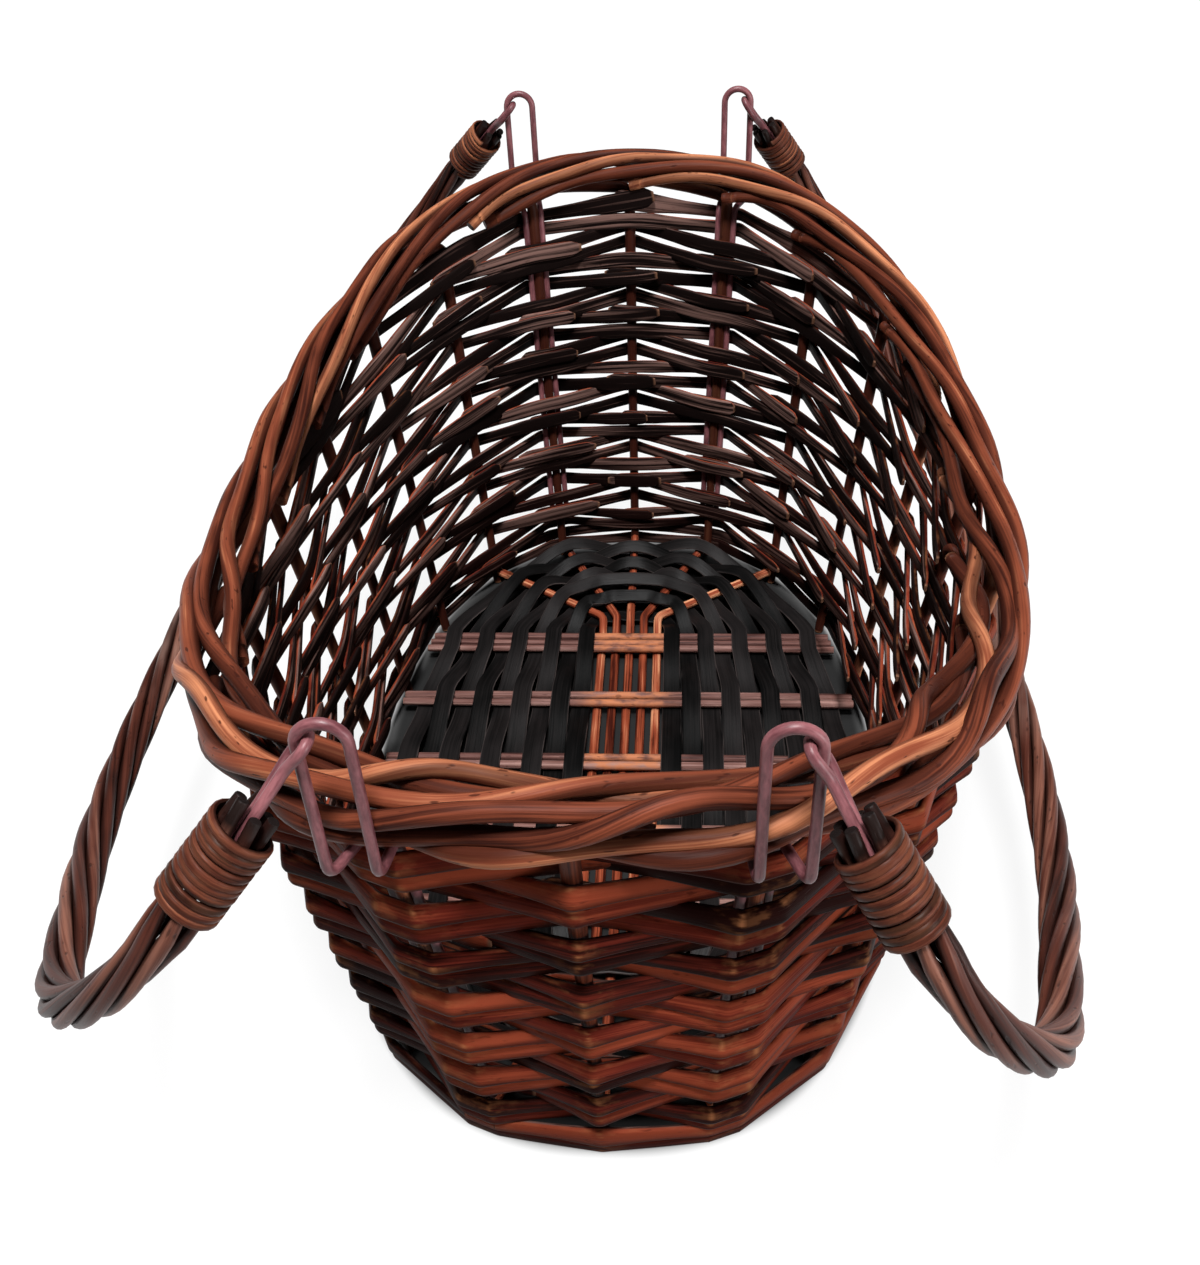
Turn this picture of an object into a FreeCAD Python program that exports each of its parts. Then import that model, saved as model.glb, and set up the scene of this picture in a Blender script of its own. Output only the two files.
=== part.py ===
import FreeCAD, Part
import math
import os
from FreeCAD import Placement, Rotation, Vector

# Oval willow basket with two swing handles hung in wire eyes.
# Millimetres, +Z up, +Y along the basket, -Y is the front end, origin under the middle of the base.

DOCUMENT = FreeCAD.newDocument("WillowBasket")
SHEET = DOCUMENT.addObject("Spreadsheet::Sheet", "Sizes")

# Driving dimensions
SIZES = {
    # Plan and heights, measured on the centre line of the rolled border and on the stakes' feet
    "rim_length": 470.0,
    "rim_width": 300.0,
    "base_length": 396.0,
    "base_width": 246.0,
    "oval_power": 2.4,
    "end_crowding": 0.15,
    "border_height_side": 179.0,
    "border_height_end": 223.0,
    # Clearance between pieces that lie on each other
    "fit_gap": 0.4,
    # Stakes and the border that their tops make
    "stake_diameter": 5.0,
    "stake_foot_height": 0.6,
    "border_roll_radius": 8.5,
    # Split rods of the woven bands
    "split_thickness": 2.2,
    "split_bevel": 1.0,
    "split_gap": 0.5,
    # Base
    "base_stick_diameter": 4.8,
    "long_stick_gap": 3.0,
    "base_ground_gap": 0.6,
    "cross_row_pitch": 47.0,
    "fan_rise_length": 14.0,
    "ribbon_thickness": 1.2,
    "ribbon_gap": 1.2,
    "ribbon_wall_gap": 8.0,
    # Wire eyes
    "wire_diameter": 3.0,
    "eye_width": 13.5,
    "eye_rise": 43.0,
    "eye_leg_bottom": 25.0,
    # Handles
    "handle_length": 546.0,
    "handle_reach": 220.0,
    "right_rest_angle": 57.0,
    "left_rest_angle": 48.5,
    "handle_rod_diameter": 3.6,
    "handle_rod_gap": 0.5,
    "handle_lay": 180.0,
    "handle_mouth_reach": 20.0,
    "handle_mouth_offset": 9.0,
    "handle_tip_overhang": 5.0,
    # Wire loops at the handle ends
    "loop_width": 6.8,
    "loop_straight": 9.5,
    "loop_leg_depth": 22.0,
    # Cane bindings
    "binding_length": 30.0,
    "binding_cane_diameter": 2.2,
    "binding_gap": 0.5,
}

for row, (alias, value) in enumerate(SIZES.items(), start=1):
    SHEET.set(f"A{row}", alias.replace("_", " "))
    SHEET.set(f"B{row}", str(value))
    SHEET.setAlias(f"B{row}", alias)
DOCUMENT.recompute()


def size(alias):
    """Value of one driving dimension, read from the sheet."""
    return float(getattr(SHEET, alias))


# Counts of what the basket maker repeats
STAKES = 20
BANDS = 14
SPLITS_PER_BAND = 2
INTERVALS_PER_SPLIT = 4
BORDER_INTERVALS = 6
BORDER_START_DEG = -90.0
BORDER_TURN_DEG = 300.0
LONG_STICKS = 5
CROSS_ROWS = 5
RIBBON_ROUNDS = 9
GROUPED_ROUNDS = 4
HANDLE_RODS = 6

# Stakes that carry the wire eyes, one to each side of the two end stakes
EYE_STAKES = (1, STAKES // 2 - 1, STAKES // 2 + 1, STAKES - 1)

UP = Vector(0, 0, 1)
ORIGIN = Vector(0, 0, 0)

GAP = size("fit_gap")
STAKE_RADIUS = size("stake_diameter") / 2
WIRE_RADIUS = size("wire_diameter") / 2
STICK_RADIUS = size("base_stick_diameter") / 2
ROD_RADIUS = size("handle_rod_diameter") / 2
CANE_RADIUS = size("binding_cane_diameter") / 2
ROLL_OUTER_RADIUS = size("border_roll_radius") + STAKE_RADIUS


# Oval plan


def oval(width, length, heading):
    """Point of an oval plan at a heading turned anticlockwise from the front end."""
    power = size("oval_power")
    across = abs(math.sin(heading)) / (width / 2)
    along = abs(math.cos(heading)) / (length / 2)
    reach = (across ** power + along ** power) ** (-1 / power)
    return Vector(reach * math.sin(heading), -reach * math.cos(heading), 0)


def oval_half_width(width, length, y):
    """Half width of an oval plan at one place along its length."""
    power = size("oval_power")
    return width / 2 * (1 - (abs(y) / (length / 2)) ** power) ** (1 / power)


def equal_headings(steps=1440):
    """Headings and lengths along the oval at half height, for even spacing of the stakes."""
    width = (size("rim_width") + size("base_width")) / 2
    length = (size("rim_length") + size("base_length")) / 2
    headings = [2 * math.pi * step / steps for step in range(steps + 1)]
    lengths = [0.0]
    for before, after in zip(headings, headings[1:]):
        chord = oval(width, length, after) - oval(width, length, before)
        lengths.append(lengths[-1] + chord.Length)
    return headings, lengths


HEADINGS, HEADING_LENGTHS = equal_headings()


def heading_at(station):
    """Heading of a station: whole stations are stakes, closer at the ends, the front one is 0."""
    turns, part = divmod(station / STAKES, 1.0)
    part -= size("end_crowding") * math.sin(4 * math.pi * part) / (4 * math.pi)
    target = part * HEADING_LENGTHS[-1]
    low, high = 0, len(HEADING_LENGTHS) - 1
    while high - low > 1:
        middle = (low + high) // 2
        if HEADING_LENGTHS[middle] <= target:
            low = middle
        else:
            high = middle
    share = (target - HEADING_LENGTHS[low]) / (HEADING_LENGTHS[high] - HEADING_LENGTHS[low])
    return 2 * math.pi * turns + HEADINGS[low] + share * (HEADINGS[high] - HEADINGS[low])


def border_centre(station):
    """Centre line of the rolled border, which sweeps up towards both ends."""
    point = oval(size("rim_width"), size("rim_length"), heading_at(station))
    rise = size("border_height_end") - size("border_height_side")
    point.z = size("border_height_side") + rise * (point.y / (size("rim_length") / 2)) ** 2
    return point


def along(station):
    """Level direction along the wall, anticlockwise."""
    step = 0.02
    chord = border_centre(station + step) - border_centre(station - step)
    chord.z = 0
    return chord.normalize()


def outward(station):
    """Level direction out of the wall."""
    tangent = along(station)
    return Vector(tangent.y, -tangent.x, 0)


def stake_foot(station):
    """Foot of a stake on the base oval."""
    point = oval(size("base_width"), size("base_length"), heading_at(station))
    point.z = size("stake_foot_height")
    return point


def stake_top(station):
    """Place under the border where a stake bends over."""
    return border_centre(station) - UP * size("border_roll_radius")


def stake_point(station, height):
    """Point on a stake's centre line at one height."""
    foot = stake_foot(station)
    top = stake_top(station)
    return foot + (top - foot) * ((height - foot.z) / (top.z - foot.z))


# Paths and solids


def arc_by_corner(start, corner, end):
    """Arc that leaves start towards the corner and arrives at end from it, or a straight line."""
    middle = (start + end) * 0.5
    lift = corner - middle
    half_chord = (end - start).Length / 2
    if lift.Length < 1e-4 * half_chord:
        return Part.LineSegment(start, end).toShape()
    half_turn = math.atan2(lift.Length, half_chord)
    bulge = half_chord * math.tan(half_turn / 2)
    return Part.Arc(start, middle + lift.normalize() * bulge, end).toShape()


def biarc(start, start_way, end, end_way):
    """Two tangent arcs from one point and direction to another."""
    chord = end - start
    ways = start_way + end_way
    bend = 2 * (1 - start_way.dot(end_way))
    lean = chord.dot(ways)
    if bend < 1e-9:
        reach = chord.dot(chord) / (2 * lean)
    else:
        reach = (math.sqrt(lean * lean + bend * chord.dot(chord)) - lean) / bend
    first_corner = start + start_way * reach
    last_corner = end - end_way * reach
    joint = (first_corner + last_corner) * 0.5
    return [arc_by_corner(start, first_corner, joint), arc_by_corner(joint, last_corner, end)]


def curve_edges(curve, places, step=0.01):
    """Biarcs through a curve, given as a function, at a row of places."""
    points = [curve(place) for place in places]
    ways = [(curve(place + step) - curve(place - step)).normalize() for place in places]
    edges = []
    for index in range(len(places) - 1):
        edges += biarc(points[index], ways[index], points[index + 1], ways[index + 1])
    return edges


def rounded_edges(corners, radii):
    """Straight runs through corners, joined by tangent arcs of the given radii."""
    edges = []
    place = corners[0]
    for before, corner, after, radius in zip(corners, corners[1:], corners[2:], radii):
        way_in = (corner - before).normalize()
        way_out = (after - corner).normalize()
        half_turn = math.acos(max(-1.0, min(1.0, way_in.dot(way_out)))) / 2
        cut = radius * math.tan(half_turn)
        arc_start = corner - way_in * cut
        arc_end = corner + way_out * cut
        edges.append(Part.LineSegment(place, arc_start).toShape())
        edges.append(arc_by_corner(arc_start, corner, arc_end))
        place = arc_end
    edges.append(Part.LineSegment(place, corners[-1]).toShape())
    return edges


def swept_rod(name, edges, diameter_alias):
    """Round rod along a path, its diameter bound to the sheet."""
    path = DOCUMENT.addObject("Part::Feature", name + "_path")
    path.Shape = Part.Wire(edges)
    section = DOCUMENT.addObject("Part::Circle", name + "_section")
    section.setExpression("Radius", f"Sizes.{diameter_alias} / 2")
    first = edges[0]
    start = first.valueAt(first.FirstParameter)
    way = first.tangentAt(first.FirstParameter)
    section.Placement = Placement(start, Rotation(UP, way))
    rod = DOCUMENT.addObject("Part::Sweep", name)
    rod.Sections = [section]
    rod.Spine = (path, [f"Edge{number}" for number in range(1, len(edges) + 1)])
    rod.Solid = True
    rod.Frenet = False
    return rod


def faceted_solid(sections, closed):
    """Solid of flat facets through a row of four-cornered sections."""
    pairs = list(zip(sections, sections[1:]))
    if closed:
        pairs.append((sections[-1], sections[0]))
    triangles = []
    for near, far in pairs:
        for corner in range(4):
            following = (corner + 1) % 4
            triangles.append((near[corner], near[following], far[following]))
            triangles.append((near[corner], far[following], far[corner]))
    if not closed:
        for cap in (sections[0], sections[-1]):
            triangles.append((cap[0], cap[1], cap[2]))
            triangles.append((cap[0], cap[2], cap[3]))
    faces = [Part.Face(Part.makePolygon([a, b, c, a])) for a, b, c in triangles]
    solid = Part.Solid(Part.Shell(faces))
    if solid.Volume < 0:
        solid.reverse()
    return solid


NODES = []


def node(item, label):
    """Give a document object the name under which it is written."""
    item.Label = label
    NODES.append(item)
    return item


def group_node(label, items):
    """One node from several separate pieces."""
    group = DOCUMENT.addObject("Part::Compound", "group_" + label)
    group.Links = items
    return node(group, label)


def solid_node(label, solids):
    """One node from shapes made in this script."""
    feature = DOCUMENT.addObject("Part::Feature", "feature_" + label)
    feature.Shape = solids[0] if len(solids) == 1 else Part.makeCompound(solids)
    return node(feature, label)


# Stakes and rolled border


def border_strand(stake, progress):
    """Path of one stake's top round the border's centre line: outside, over the top, inside."""
    turn = math.radians(BORDER_START_DEG + BORDER_TURN_DEG * progress / BORDER_INTERVALS)
    station = stake + progress
    arm = outward(station) * math.cos(turn) + UP * math.sin(turn)
    return border_centre(station) + arm * size("border_roll_radius")


# The bend takes this share of an interval along the border and this length of the upright
STRAND_BEND_PROGRESS = 0.14
STAKE_BEND_RISE = 0.9 * size("stake_diameter")
STRAND_STEPS = 14


def stake_edges(stake):
    """Upright run, bend and border run of one stake."""
    foot = stake_foot(stake)
    upright = (stake_top(stake) - foot).normalize()
    bend_start = stake_top(stake) - upright * STAKE_BEND_RISE
    span = BORDER_INTERVALS - STRAND_BEND_PROGRESS
    places = [STRAND_BEND_PROGRESS + span * step / STRAND_STEPS for step in range(STRAND_STEPS + 1)]

    def strand(progress):
        return border_strand(stake, progress)

    first = strand(places[0])
    first_way = (strand(places[0] + 0.01) - strand(places[0] - 0.01)).normalize()
    edges = [Part.LineSegment(foot, bend_start).toShape()]
    edges += biarc(bend_start, upright, first, first_way)
    return edges + curve_edges(strand, places)


STAKE_GROUPS = {
    "front_stakes": (18, 19, 0, 1, 2),
    "right_stakes": (3, 4, 5, 6, 7),
    "back_stakes": (8, 9, 10, 11, 12),
    "left_stakes": (13, 14, 15, 16, 17),
}

for label, members in STAKE_GROUPS.items():
    rods = [swept_rod(f"stake_{stake:02d}", stake_edges(stake), "stake_diameter") for stake in members]
    group_node(label, rods)


# Woven bands of split rods

# The border falls away from the end stake, so it is lower on one side of an eye
EYE_STAKE = EYE_STAKES[0]
BORDER_FALL = border_centre(EYE_STAKE).z - border_centre(EYE_STAKE + STRAND_BEND_PROGRESS).z

# The bands reach up to the border, but leave the eyes' wires room to pass out through the wall
WIRE_PASSAGE = 2 * WIRE_RADIUS + 2 * GAP + BORDER_FALL


def weave_top(stake):
    """Height at which the bands end at one stake."""
    passage = WIRE_PASSAGE if stake in EYE_STAKES else GAP
    return border_centre(stake).z - ROLL_OUTER_RADIUS - passage


def crease_seat(stake):
    """Distance of a creased split's face from the stake's centre line, so that its runs clear it."""
    before = stake_foot(stake) - stake_foot(stake - 1)
    after = stake_foot(stake + 1) - stake_foot(stake)
    wall_turn = before.getAngle(after)
    swing = math.atan2(2 * STAKE_RADIUS + size("split_thickness"), min(before.Length, after.Length))
    return (STAKE_RADIUS + GAP) / math.cos(wall_turn / 2 + swing)


EYE_LEG_SHIFT = STAKE_RADIUS + GAP + WIRE_RADIUS
EYE_LEG_FLAT = EYE_LEG_SHIFT + WIRE_RADIUS + GAP


def split_section(stake, low, high, side, shift, on_ground):
    """Section of a split at a stake: flat inside, bevelled outside, square where it meets the ground."""
    station = stake % STAKES
    seat = crease_seat(station)
    thickness = size("split_thickness")
    bevel = size("split_bevel")
    near = seat if side > 0 else -seat - thickness
    way_out = outward(station)
    sideways = along(station) * shift
    outer_low = low if on_ground else low + bevel
    rows = ((near, low), (near + thickness, outer_low), (near + thickness, high - bevel), (near, high))
    return [stake_point(station, height) + way_out * offset + sideways for offset, height in rows]


def split_solid(band, layer, first, last):
    """One split rod of a band, from behind one stake to behind another."""
    joint = size("split_gap") / 2
    sections = []
    for stake in range(first, last + 1):
        station = stake % STAKES
        pitch = weave_top(station) / BANDS
        depth = pitch / SPLITS_PER_BAND
        low = band * pitch + layer * depth
        high = low + depth - size("split_gap")
        inside = band > 0 and (stake + band) % 2 == 1
        flat = EYE_LEG_FLAT if station in EYE_STAKES else 0.0
        shifts = [-flat, flat] if flat else [0.0]
        if stake == first:
            shifts = [joint, flat] if flat else [joint]
        if stake == last:
            shifts = [-flat, -joint] if flat else [-joint]
        on_ground = band == 0 and layer == 0
        for shift in shifts:
            sections.append(split_section(stake, low, high, -1 if inside else 1, shift, on_ground))
    return faceted_solid(sections, closed=False)


for band in range(BANDS):
    splits = []
    for layer in range(SPLITS_PER_BAND):
        start = (band + 1) % 2 + 2 * ((band // 2 + layer) % 2)
        for first in range(start, start + STAKES, INTERVALS_PER_SPLIT):
            splits.append(split_solid(band, layer, first, first + INTERVALS_PER_SPLIT))
    solid_node("foot_band" if band == 0 else f"weave_band_{band:02d}", splits)


# Base

LONG_STICK_HEIGHT = size("base_ground_gap") + STICK_RADIUS
RIB_HEIGHT = LONG_STICK_HEIGHT + 2 * STICK_RADIUS + GAP
STICK_PITCH = 2 * STICK_RADIUS + GAP / 2
LONG_STICK_PITCH = 2 * STICK_RADIUS + size("long_stick_gap")
HALF_ROWS = CROSS_ROWS // 2
HALF_LONG = LONG_STICKS // 2


def cross_stick_count(row):
    """Three sticks in the two end rows, two in the rows between."""
    return 3 if abs(row) == HALF_ROWS else 2


def row_half_breadth(row):
    """Half of the length of base that one row of cross sticks takes."""
    return (cross_stick_count(row) - 1) / 2 * STICK_PITCH + STICK_RADIUS


def cross_stick(row, member):
    """One straight stick across the base, from wall to wall."""
    offset = member - (cross_stick_count(row) - 1) / 2
    stick = DOCUMENT.addObject("Part::Cylinder", f"cross_stick_{row + HALF_ROWS}_{member}")
    stick.Placement = Placement(ORIGIN, Rotation(Vector(0, 1, 0), 90))
    pitch = "(Sizes.base_stick_diameter + Sizes.fit_gap / 2)"
    place = f"({row} * Sizes.cross_row_pitch + {offset} * {pitch})"
    share = f"(1 - (abs({place}) / (Sizes.base_length / 2)) ^ Sizes.oval_power)"
    level = "(Sizes.base_ground_gap + 1.5 * Sizes.base_stick_diameter + Sizes.fit_gap)"
    climb = f"({level} - Sizes.stake_foot_height)"
    upright = "(Sizes.border_height_side - Sizes.border_roll_radius - Sizes.stake_foot_height)"
    lean = f"(Sizes.rim_width - Sizes.base_width) / 2 * {climb} / {upright}"
    wall = f"(Sizes.base_width / 2 + {lean}) * {share} ^ (1 / Sizes.oval_power)"
    reach = f"({wall} - Sizes.stake_diameter / 2 - Sizes.fit_gap)"
    stick.setExpression("Radius", "Sizes.base_stick_diameter / 2")
    stick.setExpression("Height", f"2 * {reach}")
    stick.setExpression("Placement.Base.x", f"-{reach}")
    stick.setExpression("Placement.Base.y", place)
    stick.setExpression("Placement.Base.z", level)
    return stick


group_node("base_cross_sticks", [
    cross_stick(row, member)
    for row in range(-HALF_ROWS, HALF_ROWS + 1)
    for member in range(cross_stick_count(row))
])

DIP_END = HALF_ROWS * size("cross_row_pitch") + row_half_breadth(HALF_ROWS) + STICK_RADIUS
FAN_START = DIP_END + size("fan_rise_length")
DIP_RADIUS = 20.0
FAN_RADIUS = 6.0


def fan_station(stick, end):
    """Stake that one lengthwise stick runs to, at the front (-1) or back (+1) end."""
    return stick % STAKES if end < 0 else STAKES // 2 - stick


def fan_inner(stick, end):
    """Place where a lengthwise stick leaves the bundle."""
    return Vector(stick * LONG_STICK_PITCH, end * FAN_START, RIB_HEIGHT)


def fan_outer(stick, end, wall_gap):
    """Place where a lengthwise stick ends, short of its stake."""
    wall = stake_point(fan_station(stick, end), RIB_HEIGHT)
    way = (wall - fan_inner(stick, end)).normalize()
    return wall - way * wall_gap


def long_stick_edges(stick):
    """Lengthwise stick: under the cross rows in the middle, fanned out at both ends."""
    corners = []
    for end in (-1, 1):
        dip = Vector(stick * LONG_STICK_PITCH, end * DIP_END, LONG_STICK_HEIGHT)
        side = [fan_outer(stick, end, STAKE_RADIUS + GAP), fan_inner(stick, end), dip]
        corners += side if end < 0 else side[::-1]
    return rounded_edges(corners, (FAN_RADIUS, DIP_RADIUS, DIP_RADIUS, FAN_RADIUS))


group_node("base_long_sticks", [
    swept_rod(f"long_stick_{stick + HALF_LONG}", long_stick_edges(stick), "base_stick_diameter")
    for stick in range(-HALF_LONG, HALF_LONG + 1)
])

BUNDLE_HALF_WIDTH = HALF_LONG * LONG_STICK_PITCH + STICK_RADIUS


class Rib:
    """Sticks that the ribbons cross together: where they start, where they end and how broad they are."""

    def __init__(self, inner, outer, half_breadth, grouped_index):
        self.inner = inner
        self.outer = outer
        self.half_breadth = half_breadth
        self.grouped_index = grouped_index

    def section(self, turn_round, over, shift):
        """Section of one round of ribbon as it crosses, over or under."""
        way = self.outer - self.inner
        length = way.Length
        way.normalize()
        centre = self.inner + way * (length * (turn_round + 0.5) / RIBBON_ROUNDS)
        centre += Vector(-way.y, way.x, 0) * shift
        half_width = way * ((length / RIBBON_ROUNDS - size("ribbon_gap")) / 2)
        half_thick = UP * (size("ribbon_thickness") / 2)
        centre += UP * (over * (STICK_RADIUS + GAP + size("ribbon_thickness") / 2))
        return [
            centre - half_width - half_thick,
            centre + half_width - half_thick,
            centre + half_width + half_thick,
            centre - half_width + half_thick,
        ]


def side_rib(row, hand, grouped_index):
    """Rib at one end of a row of cross sticks, on the right (+1) or left (-1)."""
    y = row * size("cross_row_pitch")
    half = row_half_breadth(row)
    wall = oval_half_width(size("base_width"), size("base_length"), abs(y) + half)
    inner = Vector(hand * (BUNDLE_HALF_WIDTH + size("ribbon_gap")), y, RIB_HEIGHT)
    outer = Vector(hand * (wall - size("ribbon_wall_gap")), y, RIB_HEIGHT)
    return Rib(inner, outer, half + GAP, grouped_index)


def fan_rib(stick, end, grouped_index):
    """Rib on one fanned end of a lengthwise stick."""
    outer = fan_outer(stick, end, size("ribbon_wall_gap"))
    return Rib(fan_inner(stick, end), outer, STICK_RADIUS + GAP, grouped_index)


def base_ribs():
    """All ribs, anticlockwise from the right side; the inner rounds cross each fan as one rib."""
    rows = range(-HALF_ROWS, HALF_ROWS + 1)
    sticks = range(-HALF_LONG, HALF_LONG + 1)
    ribs = [side_rib(row, 1, place) for place, row in enumerate(rows)]
    ribs += [fan_rib(stick, 1, CROSS_ROWS) for stick in reversed(sticks)]
    ribs += [side_rib(row, -1, CROSS_ROWS + 1 + place) for place, row in enumerate(reversed(rows))]
    ribs += [fan_rib(stick, -1, 2 * CROSS_ROWS + 1) for stick in sticks]
    return ribs


RIBS = base_ribs()

for turn_round in range(RIBBON_ROUNDS):
    sections = []
    for index, rib in enumerate(RIBS):
        place = rib.grouped_index if turn_round < GROUPED_ROUNDS else index
        over = 1 if (place + turn_round) % 2 == 0 else -1
        for shift in (-rib.half_breadth, rib.half_breadth):
            sections.append(rib.section(turn_round, over, shift))
    solid_node(f"base_ribbon_{turn_round + 1:02d}", [faceted_solid(sections, closed=True)])


# Wire eyes

EYE_HALF = size("eye_width") / 2
EYE_BEND_RADIUS = 1.5 * size("wire_diameter")


def eye_centre():
    """Middle between the legs of the front right eye, clear of the border's outside."""
    way_out = outward(EYE_STAKE)
    clear = ROLL_OUTER_RADIUS + GAP + WIRE_RADIUS
    point = border_centre(EYE_STAKE) + way_out * clear
    point.y -= EYE_HALF * abs(way_out.x / way_out.y)
    return point


EYE = eye_centre()
EYE_TOP = border_centre(EYE_STAKE).z + size("eye_rise")
EYE_BOW_HEIGHT = EYE_TOP - EYE_HALF
EYE_JOG_HEIGHT = border_centre(EYE_STAKE).z - ROLL_OUTER_RADIUS - GAP - WIRE_RADIUS - BORDER_FALL


def eye_leg_corners(hand):
    """One leg: up beside the stake, out under the border, up to the bow."""
    beside = along(EYE_STAKE) * (hand * EYE_LEG_SHIFT)
    return [
        stake_point(EYE_STAKE, size("eye_leg_bottom")) + beside,
        stake_point(EYE_STAKE, EYE_JOG_HEIGHT) + beside,
        Vector(EYE.x + hand * EYE_HALF, EYE.y, EYE_JOG_HEIGHT),
        Vector(EYE.x + hand * EYE_HALF, EYE.y, EYE_BOW_HEIGHT),
    ]


def eye_edges():
    """Hairpin of wire with a round bow."""
    radii = (EYE_BEND_RADIUS, EYE_BEND_RADIUS)
    left = rounded_edges(eye_leg_corners(-1), radii)
    right = rounded_edges(eye_leg_corners(1)[::-1], radii)
    bow_start = Vector(EYE.x - EYE_HALF, EYE.y, EYE_BOW_HEIGHT)
    bow_end = Vector(EYE.x + EYE_HALF, EYE.y, EYE_BOW_HEIGHT)
    bow = Part.Arc(bow_start, Vector(EYE.x, EYE.y, EYE_TOP), bow_end).toShape()
    return left + [bow] + right


def mirrored(source, name, across_x, across_y):
    """Mirror image of a piece at the basket's other side or other end."""
    for wanted, normal, suffix in ((across_x, Vector(1, 0, 0), "_x"), (across_y, Vector(0, 1, 0), "_y")):
        if wanted:
            image = DOCUMENT.addObject("Part::Mirroring", name + suffix)
            image.Source = source
            image.Base = ORIGIN
            image.Normal = normal
            source = image
    return source


front_right_eye = node(swept_rod("front_right_eye", eye_edges(), "wire_diameter"), "front_right_eye")
node(mirrored(front_right_eye, "front_left_eye_image", True, False), "front_left_eye")
node(mirrored(front_right_eye, "back_right_eye_image", False, True), "back_right_eye")
node(mirrored(front_right_eye, "back_left_eye_image", True, True), "back_left_eye")


# Handles

# The loop hangs in the upper outer corner of the eye
LINK_SHIFT = EYE_HALF - 2 * WIRE_RADIUS - GAP
LINK_CORNER = EYE_HALF - 2 * WIRE_RADIUS - GAP / 2
LINK_RISE = math.sqrt(LINK_CORNER ** 2 - LINK_SHIFT ** 2)
LINK = Vector(EYE.x + LINK_SHIFT, EYE.y, EYE_BOW_HEIGHT + LINK_RISE)

# Corners of a handle's outline between its mouth and its crown
SHOULDER_REACH = 80.0
KNEE_REACH = 148.0
KNEE_INSET = 26.0
CROWN_HALF = 110.0
RUN_SHARE = 0.45

# The rods lie close in the grip and spread round the wire at the bound ends
ROPE_RADIUS = size("handle_rod_diameter") + size("handle_rod_gap")
LOOP_LEG_SHIFT = WIRE_RADIUS + GAP / 4
MOUTH_RADIUS = max(LOOP_LEG_SHIFT + WIRE_RADIUS + GAP + ROD_RADIUS, ROPE_RADIUS)
GATHER_LENGTH = 18.0
ROD_STEP = 22.0

BINDING_START = size("handle_tip_overhang")
BINDING_END = BINDING_START + size("binding_length")
BINDING_PITCH = size("binding_cane_diameter") + size("binding_gap")
BINDING_TURNS = int((size("binding_length") - size("binding_cane_diameter")) / BINDING_PITCH)
BINDING_RADIUS = MOUTH_RADIUS + ROD_RADIUS + GAP + CANE_RADIUS
ARCS_PER_TURN = 4


def full_radii(corners):
    """Largest radii that neighbouring runs leave room for."""
    radii = []
    for before, corner, after in zip(corners, corners[1:], corners[2:]):
        turn = (corner - before).getAngle(after - corner)
        room = RUN_SHARE * min((corner - before).Length, (after - corner).Length)
        radii.append(room / math.tan(turn / 2))
    return radii


class CentreLine:
    """Row of tangent edges, read by distance from the first end."""

    def __init__(self, edges):
        self.edges = edges
        self.length = sum(edge.Length for edge in edges)

    def locate(self, distance):
        """Edge and distance along it."""
        for edge in self.edges[:-1]:
            if distance <= edge.Length:
                return edge, distance
            distance -= edge.Length
        return self.edges[-1], distance

    def way(self, distance):
        """Direction at a distance."""
        edge, part = self.locate(min(max(distance, 0.0), self.length))
        return edge.tangentAt(edge.getParameterByLength(min(part, edge.Length)))

    def point(self, distance):
        """Point at a distance, run on straight past both ends."""
        inside = min(max(distance, 0.0), self.length)
        edge, part = self.locate(inside)
        place = edge.valueAt(edge.getParameterByLength(min(part, edge.Length)))
        return place + self.way(inside) * (distance - inside)


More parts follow.
